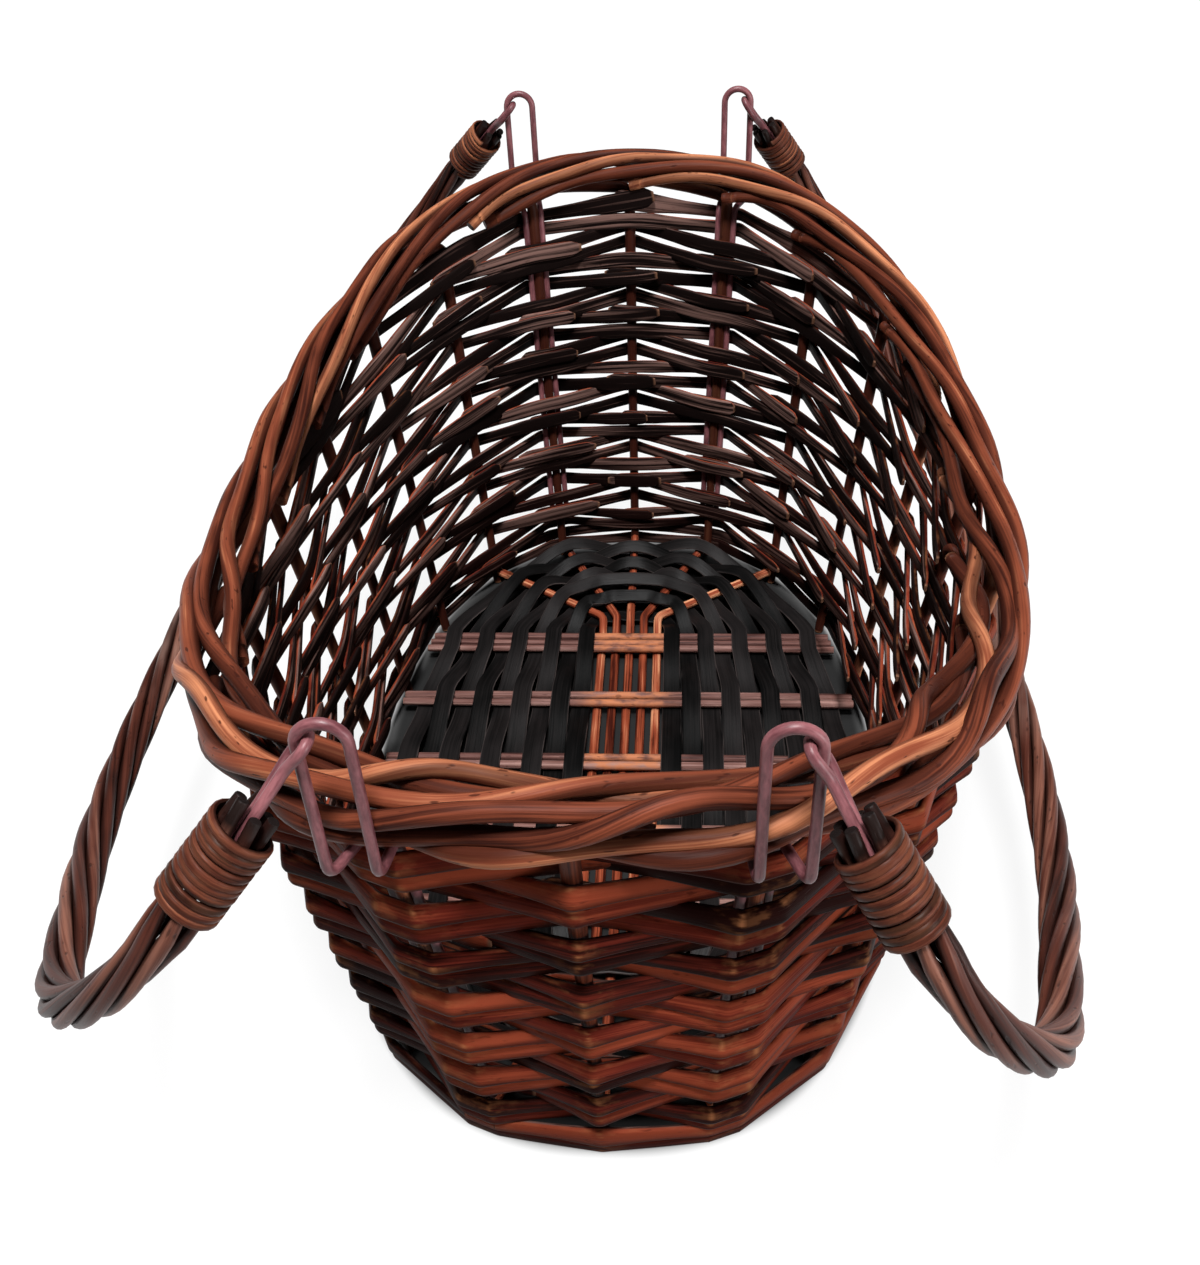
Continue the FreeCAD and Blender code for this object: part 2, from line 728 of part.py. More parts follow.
class Handle:
    """One swing handle at rest, drawn in its own plane: y is the basket's, reach starts at the hinge."""

    def __init__(self, side, hand, rest_alias):
        self.side = side
        self.hand = hand
        rest = math.radians(size(rest_alias))
        self.reach_way = Vector(hand * math.cos(rest), 0, -math.sin(rest))
        self.side_way = Vector(hand * math.sin(rest), 0, math.cos(rest))
        corners = self.corners()
        self.line = CentreLine(rounded_edges(corners, full_radii(corners)))

    def place(self, y, reach):
        """Point of the handle's plane."""
        return Vector(self.hand * LINK.x, y, LINK.z) + self.reach_way * reach

    def corners(self):
        """Corners of the outline, from the front end over the crown to the back end."""
        half_length = size("handle_length") / 2
        half = [
            (abs(LINK.y) + size("handle_mouth_offset"), size("handle_mouth_reach")),
            (half_length, SHOULDER_REACH),
            (half_length - KNEE_INSET, KNEE_REACH),
            (CROWN_HALF, size("handle_reach")),
        ]
        front = [self.place(-y, reach) for y, reach in half]
        back = [self.place(y, reach) for y, reach in half]
        return front + back[::-1]

    def inwards(self, distance):
        """Direction in the handle's plane that points into its arch."""
        return self.side_way.cross(self.line.way(distance)) * self.hand

    def round_point(self, distance, radius, turn):
        """Point at a radius and angle round the centre line."""
        arm = self.inwards(distance) * math.cos(turn) + self.side_way * math.sin(turn)
        return self.line.point(distance) + arm * radius

    def rod_ring(self, distance):
        """Distance of the rods from the centre line."""
        from_end = min(distance, self.line.length - distance)
        share = min(max((from_end - BINDING_END) / GATHER_LENGTH, 0.0), 1.0)
        ease = share * share * (3 - 2 * share)
        return MOUTH_RADIUS + (ROPE_RADIUS - MOUTH_RADIUS) * ease

    def rod_edges(self, rod):
        """One of the rods that are twisted into the handle."""
        steps = math.ceil(self.line.length / ROD_STEP)

        def strand(distance):
            turn = 2 * math.pi * (rod / HANDLE_RODS + distance / size("handle_lay"))
            return self.round_point(distance, self.rod_ring(distance), turn)

        return curve_edges(strand, [self.line.length * step / steps for step in range(steps + 1)])

    def loop_edges(self):
        """Wire loop of the front end: a straight pin through the eye, two legs into the binding."""
        half = size("loop_width") / 2
        mouth = self.line.point(0.0)
        way = self.line.way(0.0)
        legs = []
        for end in (1, -1):
            leg_mouth = mouth + self.inwards(0.0) * (end * LOOP_LEG_SHIFT)
            legs.append([
                leg_mouth + way * size("loop_leg_depth"),
                leg_mouth,
                self.place(LINK.y + end * half, size("loop_straight")),
                self.place(LINK.y + end * half, 0.0),
            ])
        wire = size("wire_diameter")
        radii = (4 * wire, 2 * wire, wire, wire, 2 * wire, 4 * wire)
        return rounded_edges(legs[0] + legs[1][::-1], radii)

    def binding_point(self, turn):
        """Centre line of the winding after a number of turns."""
        distance = BINDING_START + CANE_RADIUS + turn * BINDING_PITCH
        return self.round_point(distance, BINDING_RADIUS, 2 * math.pi * turn)

    def binding_edges(self):
        """Cane wound round the front end in one unbroken run."""
        steps = BINDING_TURNS * ARCS_PER_TURN
        places = [step / ARCS_PER_TURN for step in range(steps + 1)]
        return curve_edges(self.binding_point, places, step=0.001)

    def least_winding_gap(self, samples=36):
        """Least clear gap between neighbouring turns, measured on points."""
        points = [self.binding_point(step / samples) for step in range(BINDING_TURNS * samples)]
        least = math.inf
        for index, point in enumerate(points):
            for other in points[index + samples // 2:index + 3 * samples // 2]:
                least = min(least, (other - point).Length)
        return least - size("binding_cane_diameter")

    def build(self):
        """Rods, wire loops and bindings of this handle as nodes."""
        side = self.side
        group_node(f"{side}_handle_rods", [
            swept_rod(f"{side}_rod_{rod}", self.rod_edges(rod), "handle_rod_diameter")
            for rod in range(HANDLE_RODS)
        ])
        loop = swept_rod(f"{side}_front_loop", self.loop_edges(), "wire_diameter")
        node(loop, f"{side}_front_loop")
        node(mirrored(loop, f"{side}_back_loop_image", False, True), f"{side}_back_loop")
        binding = swept_rod(f"{side}_front_binding", self.binding_edges(), "binding_cane_diameter")
        node(binding, f"{side}_front_binding")
        node(mirrored(binding, f"{side}_back_binding_image", False, True), f"{side}_back_binding")


HANDLES = (Handle("right", 1, "right_rest_angle"), Handle("left", -1, "left_rest_angle"))

for handle in HANDLES:
    handle.build()


# Check and write

DOCUMENT.recompute()

for item in DOCUMENT.Objects:
    if "Invalid" in item.State or "Error" in item.State:
        raise RuntimeError(f"{item.Label}: {item.State}")

for item in NODES:
    if item.Shape.isNull() or not item.Shape.isValid() or not item.Shape.Solids:
        raise RuntimeError(f"{item.Label} has no valid solid")

print(f"hinge line at x {LINK.x:.3f}, z {LINK.z:.3f}; eyes at y {LINK.y:.3f}")
for handle in HANDLES:
    gap = handle.least_winding_gap()
    print(f"{handle.side} binding: {BINDING_TURNS} turns, least gap to itself {gap:.3f} mm")

os.makedirs("parts", exist_ok=True)
for item in NODES:
    item.Shape.exportStep(f"parts/{item.Label}.step")
print(f"{len(NODES)} nodes, {sum(len(item.Shape.Solids) for item in NODES)} solids")
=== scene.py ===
"""Oval willow basket with two swing handles: the looks of its rods, ribbons, cane and wire."""

import logging
import math
import random
from dataclasses import dataclass, field, replace
from enum import Enum
from functools import cached_property
from typing import Any, Callable, Optional, Sequence

import bmesh
import bpy
from mathutils import Matrix, Quaternion, Vector

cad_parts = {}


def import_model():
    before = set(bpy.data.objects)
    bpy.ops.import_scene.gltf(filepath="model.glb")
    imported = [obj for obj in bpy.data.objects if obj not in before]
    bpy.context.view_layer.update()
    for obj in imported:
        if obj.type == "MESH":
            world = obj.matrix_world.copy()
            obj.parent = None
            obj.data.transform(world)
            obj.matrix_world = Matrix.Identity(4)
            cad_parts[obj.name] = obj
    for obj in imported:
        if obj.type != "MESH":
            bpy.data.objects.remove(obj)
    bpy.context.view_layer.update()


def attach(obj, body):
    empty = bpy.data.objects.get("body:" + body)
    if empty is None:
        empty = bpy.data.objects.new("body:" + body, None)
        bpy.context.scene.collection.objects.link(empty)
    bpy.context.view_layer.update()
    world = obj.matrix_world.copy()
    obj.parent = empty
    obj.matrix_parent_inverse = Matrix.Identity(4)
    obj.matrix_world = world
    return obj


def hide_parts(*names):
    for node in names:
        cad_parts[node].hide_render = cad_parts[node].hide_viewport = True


LOG = logging.getLogger("willow_basket")

MM = 0.001
UP = Vector((0.0, 0.0, 1.0))

Colour = tuple[float, float, float]


def shade(red: int, green: int, blue: int) -> Colour:
    """Linear colour of a display colour.

    Args:
        red: Red from 0 to 255.
        green: Green from 0 to 255.
        blue: Blue from 0 to 255.

    Returns:
        The colour as shaders read it.
    """
    parts = []
    for value in (red / 255, green / 255, blue / 255):
        parts.append(value / 12.92 if value <= 0.04045 else ((value + 0.055) / 1.055) ** 2.4)
    return tuple(parts)


def ease(share: float) -> float:
    """Smooth step from 0 to 1."""
    held = min(max(share, 0.0), 1.0)
    return held * held * (3 - 2 * held)


def blend(start: float, end: float, share: float) -> float:
    """Value between two others."""
    return start + (end - start) * share


# Wall plan


@dataclass(frozen=True)
class WallPlan:
    """Oval plan and heights that all pieces follow, in millimetres."""

    rim_length: float = 470.0
    rim_width: float = 300.0
    base_length: float = 396.0
    base_width: float = 246.0
    oval_power: float = 2.4
    end_crowding: float = 0.15
    border_height_side: float = 179.0
    border_height_end: float = 223.0
    roll_radius: float = 8.5
    stake_radius: float = 2.5
    stake_foot_height: float = 0.6
    stake_count: int = 20
    fit_gap: float = 0.4
    wire_radius: float = 1.5
    bend_progress: float = 0.14
    eye_stakes: tuple[int, ...] = (1, 9, 11, 19)
    table_steps: int = 1440
    short_step: float = 0.02

    def oval(self, width: float, length: float, heading: float) -> Vector:
        """Point of an oval.

        Args:
            width: Full width of the oval.
            length: Full length of the oval.
            heading: Angle turned anticlockwise from the front end, in radians.

        Returns:
            The point, at height zero.
        """
        across = abs(math.sin(heading)) / (width / 2)
        along = abs(math.cos(heading)) / (length / 2)
        reach = (across ** self.oval_power + along ** self.oval_power) ** (-1 / self.oval_power)
        return Vector((reach * math.sin(heading), -reach * math.cos(heading), 0.0))

    def half_width(self, width: float, length: float, y: float) -> float:
        """Half width of an oval at one place along its length."""
        return width / 2 * (1 - (abs(y) / (length / 2)) ** self.oval_power) ** (1 / self.oval_power)

    @cached_property
    def heading_table(self) -> list[tuple[float, float]]:
        """Lengths along the oval at half height, each with its heading."""
        width = (self.rim_width + self.base_width) / 2
        length = (self.rim_length + self.base_length) / 2
        rows = [(0.0, 0.0)]
        before = self.oval(width, length, 0.0)
        for step in range(1, self.table_steps + 1):
            heading = 2 * math.pi * step / self.table_steps
            after = self.oval(width, length, heading)
            rows.append((rows[-1][0] + (after - before).length, heading))
            before = after
        return rows

    def heading_at(self, station: float) -> float:
        """Heading of a station, where whole stations are stakes and the front one is 0."""
        part = (station / self.stake_count) % 1.0
        part -= self.end_crowding * math.sin(4 * math.pi * part) / (4 * math.pi)
        table = self.heading_table
        target = part * table[-1][0]
        low = 0
        high = len(table) - 1
        while high - low > 1:
            middle = (low + high) // 2
            if table[middle][0] <= target:
                low = middle
            else:
                high = middle
        share = (target - table[low][0]) / (table[high][0] - table[low][0])
        return blend(table[low][1], table[high][1], share)

    def border_centre(self, station: float) -> Vector:
        """Centre line of the rolled border."""
        point = self.oval(self.rim_width, self.rim_length, self.heading_at(station))
        rise = self.border_height_end - self.border_height_side
        point.z = self.border_height_side + rise * (point.y / (self.rim_length / 2)) ** 2
        return point

    def along(self, station: float) -> Vector:
        """Level direction along the wall, anticlockwise."""
        ahead = self.border_centre(station + self.short_step)
        chord = ahead - self.border_centre(station - self.short_step)
        chord.z = 0.0
        return chord.normalized()

    def outward(self, station: float) -> Vector:
        """Level direction out of the wall."""
        tangent = self.along(station)
        return Vector((tangent.y, -tangent.x, 0.0))

    def stake_foot(self, station: float) -> Vector:
        """Foot of a stake."""
        point = self.oval(self.base_width, self.base_length, self.heading_at(station))
        point.z = self.stake_foot_height
        return point

    def stake_top(self, station: float) -> Vector:
        """Place under the border where a stake bends over."""
        return self.border_centre(station) - UP * self.roll_radius

    def stake_point(self, station: float, height: float) -> Vector:
        """Point of a stake's centre line at one height."""
        foot = self.stake_foot(station)
        top = self.stake_top(station)
        return foot + (top - foot) * ((height - foot.z) / (top.z - foot.z))

    @property
    def roll_outside(self) -> float:
        """Outer radius of the rolled border."""
        return self.roll_radius + self.stake_radius

    @property
    def eye_stake(self) -> int:
        """Stake that carries the front right eye."""
        return self.eye_stakes[0]

    @property
    def border_fall(self) -> float:
        """Drop of the border beside an eye's stake."""
        near = self.border_centre(self.eye_stake).z
        return near - self.border_centre(self.eye_stake + self.bend_progress).z

    def weave_top(self, stake: int) -> float:
        """Height at which the woven bands end, lower where an eye's wire passes out."""
        passage = 2 * self.wire_radius + 2 * self.fit_gap + self.border_fall
        if stake not in self.eye_stakes:
            passage = self.fit_gap
        return self.border_centre(stake).z - self.roll_outside - passage


# Strands


@dataclass
class StrandPoint:
    """One place along a strand: half sizes in millimetres, wear, cut end, and crown wear with a painted
    sheen, from 0 to 1.
    """

    place: Vector
    thick: float
    wide: float
    face: Optional[Vector] = None
    wear: float = 0.0
    tip: float = 0.0
    crown_wear_sheen: float = 0.0


@dataclass
class Strand:
    """One rod, ribbon, cane or wire."""

    points: list[StrandPoint]
    tone: float
    closed: bool = False

    def ways(self) -> list[Vector]:
        """Directions along the strand, one for each point."""
        places = [point.place for point in self.points]
        count = len(places)
        found = []
        for index in range(count):
            if self.closed:
                chord = places[(index + 1) % count] - places[index - 1]
            else:
                chord = places[min(index + 1, count - 1)] - places[max(index - 1, 0)]
            found.append(chord.normalized())
        return found

    def faces(self, ways: Sequence[Vector]) -> list[Vector]:
        """Directions of the section's outer side.

        Args:
            ways: Direction along the strand at each point.

        Returns:
            Stated directions made square to the strand, or ones carried along without twist.
        """
        found = []
        carried = self.points[0].face or ways[0].orthogonal()
        for point, way in zip(self.points, ways):
            wanted = point.face or carried
            carried = (wanted - way * wanted.dot(way)).normalized()
            found.append(carried)
        return found


class Section(Enum):
    """Cross sections: sides, how flat the back is, and the power that squares the outline."""

    ROD = (12, 0.0, 1.0)
    SPLIT = (12, 0.72, 0.5)
    RIBBON = (12, 0.0, 0.3)
    CANE = (10, 0.5, 0.8)
    WIRE = (12, 0.0, 0.99)


class TreeBench:
    """Adds nodes to a node tree, for geometry and shaders alike."""

    def __init__(self, tree: bpy.types.NodeTree) -> None:
        """Keep the tree."""
        self.tree = tree

    def node(self, kind: str, settings: Optional[dict[str, Any]] = None,
             inputs: Optional[dict[Any, Any]] = None) -> bpy.types.Node:
        """Add one node.

        Args:
            kind: The node's type.
            settings: Values of the node itself, which are set first.
            inputs: Values or links of its sockets, by name or number.

        Returns:
            The node.
        """
        made = self.tree.nodes.new(kind)
        for name, value in (settings or {}).items():
            setattr(made, name, value)
        for name, value in (inputs or {}).items():
            self.feed(made.inputs[name], value)
        return made

    def feed(self, target: bpy.types.NodeSocket, value: Any) -> None:
        """Link or set one socket.

        Args:
            target: The socket to feed.
            value: A wrapped socket, a socket or a plain value.
        """
        if isinstance(value, Quantity):
            value = value.socket
        if isinstance(value, bpy.types.NodeSocket):
            self.tree.links.new(value, target)
        elif target.type == "RGBA" and len(value) == 3:
            target.default_value = (*value, 1.0)
        else:
            target.default_value = value

    def value(self, socket: bpy.types.NodeSocket) -> "Quantity":
        """Wrap a socket for arithmetic."""
        return Quantity(self, socket)


class Quantity:
    """A number's socket that takes Python arithmetic."""

    def __init__(self, bench: TreeBench, socket: bpy.types.NodeSocket) -> None:
        """Keep the bench and the socket."""
        self.bench = bench
        self.socket = socket

    def math(self, operation: str, first: Any, second: Any = 0.0) -> "Quantity":
        """Add a Math node.

        Args:
            operation: Name of the operation.
            first: First value.
            second: Second value.

        Returns:
            The result.
        """
        made = self.bench.node("ShaderNodeMath", {"operation": operation}, {0: first, 1: second})
        return Quantity(self.bench, made.outputs[0])

    def __add__(self, other: Any) -> "Quantity":
        """Sum."""
        return self.math("ADD", self, other)

    __radd__ = __add__

    def __sub__(self, other: Any) -> "Quantity":
        """Difference."""
        return self.math("SUBTRACT", self, other)

    def __rsub__(self, other: Any) -> "Quantity":
        """Difference from another value."""
        return self.math("SUBTRACT", other, self)

    def __mul__(self, other: Any) -> "Quantity":
        """Product."""
        return self.math("MULTIPLY", self, other)

    __rmul__ = __mul__

    def __pow__(self, other: Any) -> "Quantity":
        """Power."""
        return self.math("POWER", self, other)

    def __abs__(self) -> "Quantity":
        """Size without sign."""
        return self.math("ABSOLUTE", self)

    def sign(self) -> "Quantity":
        """Minus one, zero or one."""
        return self.math("SIGN", self)

    def above(self, limit: float) -> "Quantity":
        """One where the value passes a limit."""
        return self.math("GREATER_THAN", self, limit)

    def lower(self, other: Any) -> "Quantity":
        """Smaller of two values."""
        return self.math("MINIMUM", self, other)

    def higher(self, other: Any) -> "Quantity":
        """Larger of two values."""
        return self.math("MAXIMUM", self, other)

    def step(self, low: float, high: float) -> "Quantity":
        """Smooth step.

        Args:
            low: Value that gives 0.
            high: Value that gives 1.

        Returns:
            The step.
        """
        made = self.bench.node(
            "ShaderNodeMapRange", {"interpolation_type": "SMOOTHSTEP"},
            {"Value": self, "From Min": low, "From Max": high},
        )
        return Quantity(self.bench, made.outputs[0])


class SweepTree:
    """Geometry Nodes tree that gives polylines a cross section."""

    INPUTS = (
        ("Sides", "NodeSocketInt"),
        ("Flat Back", "NodeSocketFloat"),
        ("Squareness", "NodeSocketFloat"),
        ("Unevenness", "NodeSocketFloat"),
        ("Seed", "NodeSocketFloat"),
        ("Finish", "NodeSocketMaterial"),
    )

    # Scale of the uneven thickness, how far strands are apart in it and in the grain, mark of a cut face
    UNEVEN_SCALE = 38.0
    UNEVEN_STEP = 9.0
    GRAIN_STEP = 3.0
    CUT_FACE = 0.95

    def __init__(self) -> None:
        """Build the tree."""
        self.tree = bpy.data.node_groups.new("strand_sweep", "GeometryNodeTree")
        self.bench = TreeBench(self.tree)
        interface = self.tree.interface
        interface.new_socket("Geometry", in_out="INPUT", socket_type="NodeSocketGeometry")
        self.identifiers = {}
        for name, kind in self.INPUTS:
            made = interface.new_socket(name, in_out="INPUT", socket_type=kind)
            self.identifiers[name] = made.identifier
        interface.new_socket("Geometry", in_out="OUTPUT", socket_type="NodeSocketGeometry")
        self.build()

    def named(self, name: str, kind: str) -> bpy.types.NodeSocket:
        """Output of a named attribute."""
        made = self.bench.node("GeometryNodeInputNamedAttribute", {"data_type": kind}, {"Name": name})
        return made.outputs["Attribute"]

    def vector(self, operation: str, first: Any, second: Any) -> bpy.types.NodeSocket:
        """Result of a Vector Math node.

        Args:
            operation: Name of the operation.
            first: First vector.
            second: Second vector, or the factor of a scaling.

        Returns:
            The resulting vector's socket.
        """
        place = "Scale" if operation == "SCALE" else 1
        made = self.bench.node("ShaderNodeVectorMath", {"operation": operation}, {0: first, place: second})
        return made.outputs["Vector"]

    def outline(self, given: bpy.types.Node, profile: bpy.types.NodeSocket) -> tuple[Quantity, Quantity]:
        """Shape the unit circle into the section.

        Args:
            given: The tree's input node.
            profile: Captured place on the unit circle.

        Returns:
            Out and across shares of the half sizes.
        """
        bench = self.bench
        parts = bench.node("ShaderNodeSeparateXYZ", None, {0: profile})
        power = bench.value(given.outputs["Squareness"])
        flat = bench.value(given.outputs["Flat Back"])
        shaped = []
        for axis in (0, 1):
            share = bench.value(parts.outputs[axis])
            shaped.append(share.sign() * abs(share) ** power)
        out, across = shaped
        behind = 1.0 - out.above(0.0)
        return out * (1.0 - behind * flat), across

    def build(self) -> None:
        """Add and link all nodes."""
        bench = self.bench
        given = bench.node("NodeGroupInput")
        lines = bench.node("GeometryNodeMeshToCurve", None, {"Mesh": given.outputs["Geometry"]})
        circle = bench.node(
            "GeometryNodeCurvePrimitiveCircle", None, {"Resolution": given.outputs["Sides"], "Radius": 1.0})
        position = bench.node("GeometryNodeInputPosition")
        capture = bench.node("GeometryNodeCaptureAttribute")
        capture.capture_items.new("VECTOR", "Profile")
        bench.feed(capture.inputs[0], circle.outputs["Curve"])
        bench.feed(capture.inputs[1], position.outputs[0])
        swept = bench.node("GeometryNodeCurveToMesh", None, {
            "Curve": lines.outputs["Curve"], "Profile Curve": capture.outputs[0], "Fill Caps": True})
        out, across = self.outline(given, capture.outputs[1])
        centre = self.named("centre", "FLOAT_VECTOR")
        way = self.named("way", "FLOAT_VECTOR")
        face = self.named("face_way", "FLOAT_VECTOR")
        strand = bench.value(self.named("strand", "FLOAT"))
        travel = bench.value(self.named("travel", "FLOAT"))
        seed = bench.value(given.outputs["Seed"])
        run = bench.node("ShaderNodeCombineXYZ", None, {0: travel, 1: strand * self.UNEVEN_STEP, 2: seed})
        noise = bench.node("ShaderNodeTexNoise", None, {
            "Vector": run.outputs[0], "Scale": self.UNEVEN_SCALE, "Detail": 1.0})
        swell = (bench.value(noise.outputs[0]) - 0.5) * bench.value(given.outputs["Unevenness"]) + 1.0
        thick = bench.value(self.named("half_thick", "FLOAT")) * out * swell
        wide = bench.value(self.named("half_wide", "FLOAT")) * across * swell
        side = self.vector("CROSS_PRODUCT", way, face)
        arm = self.vector("ADD", self.vector("SCALE", face, thick), self.vector("SCALE", side, wide))
        placed = bench.node("GeometryNodeSetPosition", None, {
            "Geometry": swept.outputs["Mesh"], "Position": self.vector("ADD", centre, arm)})
        grain = bench.node("ShaderNodeCombineXYZ", None, {
            0: thick, 1: wide, 2: travel + strand * self.GRAIN_STEP})
        skin = bench.node("ShaderNodeCombineXYZ", None, {0: out, 1: across, 2: strand})
        shape = placed.outputs["Geometry"]
        for name, socket in (("grain", grain.outputs[0]), ("skin", skin.outputs[0])):
            kept = bench.node(
                "GeometryNodeStoreNamedAttribute", {"data_type": "FLOAT_VECTOR", "domain": "POINT"},
                {"Geometry": shape, "Name": name, "Value": socket})
            shape = kept.outputs["Geometry"]
        cut = bench.value(self.named("tip", "FLOAT"))
        smooth = bench.node("GeometryNodeSetShadeSmooth", {"domain": "FACE"}, {
            "Geometry": shape, "Shade Smooth": 1.0 - cut.above(self.CUT_FACE)})
        real = bench.node("GeometryNodeRealizeInstances", None, {"Geometry": smooth.outputs["Geometry"]})
        dressed = bench.node("GeometryNodeSetMaterial", None, {
            "Geometry": real.outputs["Geometry"], "Material": given.outputs["Finish"]})
        bench.node("NodeGroupOutput", None, {"Geometry": dressed.outputs["Geometry"]})


@dataclass
class Workshop:
    """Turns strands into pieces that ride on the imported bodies."""

    sweep: SweepTree
    finishes: dict[str, bpy.types.Material]
    count: int = 0

    # Attributes that the sweep alone reads, then those that stay for the finishes
    VECTORS = ("centre", "way", "face_way")
    SIZES = ("half_thick", "half_wide", "travel", "strand")
    MARKS = ("wear", "tip", "crown_wear_sheen")
    SEED_STEP = 0.37

    def polylines(self, name: str, strands: Sequence[Strand]) -> bpy.types.Object:
        """Mesh of bare lines with the attributes that the sweep reads.

        Args:
            name: Name of the object.
            strands: Strands to lay down.

        Returns:
            The object, linked to the scene.
        """
        verts: list[Vector] = []
        edges: list[tuple[int, int]] = []
        vectors: dict[str, list[float]] = {key: [] for key in self.VECTORS}
        numbers: dict[str, list[float]] = {key: [] for key in self.SIZES + self.MARKS}
        for strand in strands:
            ways = strand.ways()
            faces = strand.faces(ways)
            first = len(verts)
            travel = 0.0
            before = strand.points[0].place
            for point, way, face in zip(strand.points, ways, faces):
                travel += (point.place - before).length * MM
                before = point.place
                centre = point.place * MM
                verts.append(centre)
                for key, vector in zip(self.VECTORS, (centre, way, face)):
                    vectors[key].extend(vector)
                sizes = (point.thick * MM, point.wide * MM, travel, strand.tone)
                marks = (point.wear, point.tip, point.crown_wear_sheen)
                for key, number in zip(self.SIZES + self.MARKS, sizes + marks):
                    numbers[key].append(number)
            last = len(verts) - 1
            edges.extend((index, index + 1) for index in range(first, last))
            if strand.closed:
                edges.append((last, first))
        mesh = bpy.data.meshes.new(name)
        mesh.from_pydata(verts, edges, [])
        for key, values in vectors.items():
            mesh.attributes.new(key, "FLOAT_VECTOR", "POINT").data.foreach_set("vector", values)
        for key, values in numbers.items():
            mesh.attributes.new(key, "FLOAT", "POINT").data.foreach_set("value", values)
        lines = bpy.data.objects.new(name, mesh)
        bpy.context.scene.collection.objects.link(lines)
        return lines

    def make(self, name: str, strands: Sequence[Strand], section: Section, finish: str,
             unevenness: float) -> bpy.types.Object:
        """Sweep strands into one plain mesh.

        Args:
            name: Name of the piece.
            strands: Strands of the piece.
            section: Their cross section.
            finish: Name of the finish.
            unevenness: How much the thickness wanders, as a share.

        Returns:
            The finished object.
        """
        self.count += 1
        lines = self.polylines(name + "_lines", strands)
        modifier = lines.modifiers.new("sweep", "NODES")
        modifier.node_group = self.sweep.tree
        sides, flat, squareness = section.value
        values = {
            "Sides": sides, "Flat Back": flat, "Squareness": squareness,
            "Unevenness": unevenness, "Seed": self.SEED_STEP * self.count, "Finish": self.finishes[finish],
        }
        for key, value in values.items():
            modifier[self.sweep.identifiers[key]] = value
        bpy.context.view_layer.update()
        graph = bpy.context.evaluated_depsgraph_get()
        mesh = bpy.data.meshes.new_from_object(lines.evaluated_get(graph), depsgraph=graph)
        spare = lines.data
        bpy.data.objects.remove(lines)
        bpy.data.meshes.remove(spare)
        for key in self.VECTORS + self.SIZES:
            mesh.attributes.remove(mesh.attributes[key])
        mesh.name = name
        self.turn_outwards(mesh)
        piece = bpy.data.objects.new(name, mesh)
        bpy.context.scene.collection.objects.link(piece)
        return piece

    @staticmethod
    def turn_outwards(mesh: bpy.types.Mesh) -> None:
        """Make all faces of closed shells point outwards."""
        work = bmesh.new()
        work.from_mesh(mesh)
        bmesh.ops.recalc_face_normals(work, faces=work.faces)
        work.to_mesh(mesh)
        work.free()

    def seat(self, piece: bpy.types.Object, body: str, slot: str, *nodes: str) -> None:
        """Set a piece on its body in place of the nodes it stands for.

        Args:
            piece: The finished piece.
            body: Body that carries it.
            slot: Material slot; not used.
            nodes: Nodes that it replaces.
        """
        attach(piece, body)
        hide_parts(*nodes)
        LOG.info("%s: %d faces on %s", piece.name, len(piece.data.polygons), body)


# Paths

# Largest turn in radians and fewest steps of an arc, then place and size of a rod's cut end
ARC_TURN = 0.35
ARC_STEPS = 3
RIM_SHARE = 0.25
CUT_SHARE = 0.9


def fillet_path(corners: Sequence[Vector], radii: Sequence[float], spacing: float) -> list[Vector]:
    """Straight runs joined by tangent arcs, as closely spaced points.

    Args:
        corners: Corners of the path, with both ends.
        radii: Radius at each inner corner.
        spacing: Largest distance between points.

    Returns:
        The points.
    """
    points = [corners[0].copy()]

    def run_to(end: Vector) -> None:
        """Add points of a straight run, its end included."""
        start = points[-1]
        steps = max(1, math.ceil((end - start).length / spacing))
        points.extend(start.lerp(end, step / steps) for step in range(1, steps + 1))

    for before, corner, after, radius in zip(corners, corners[1:], corners[2:], radii):
        way_in = (corner - before).normalized()
        way_out = (after - corner).normalized()
        turn = way_in.angle(way_out)
        cut = radius * math.tan(turn / 2)
        run_to(corner - way_in * cut)
        axis = way_in.cross(way_out).normalized()
        arm = axis.cross(way_in) * -radius
        middle = points[-1] - arm
        steps = max(ARC_STEPS, math.ceil(radius * turn / spacing), math.ceil(turn / ARC_TURN))
        for step in range(1, steps + 1):
            points.append(middle + Quaternion(axis, turn * step / steps) @ arm)
    run_to(corners[-1])
    return points


class CentreLine:
    """Row of points read by distance from the first end."""

    def __init__(self, points: Sequence[Vector]) -> None:
        """Measure the row."""
        self.points = list(points)
        self.lengths = [0.0]
        for before, after in zip(self.points, self.points[1:]):
            self.lengths.append(self.lengths[-1] + (after - before).length)
        self.length = self.lengths[-1]

    def at(self, distance: float) -> tuple[Vector, Vector]:
        """Point and direction at a distance, run on straight past both ends."""
        index = 0
        while index < len(self.points) - 2 and self.lengths[index + 1] < distance:
            index += 1
        way = (self.points[index + 1] - self.points[index]).normalized()
        return self.points[index] + way * (distance - self.lengths[index]), way


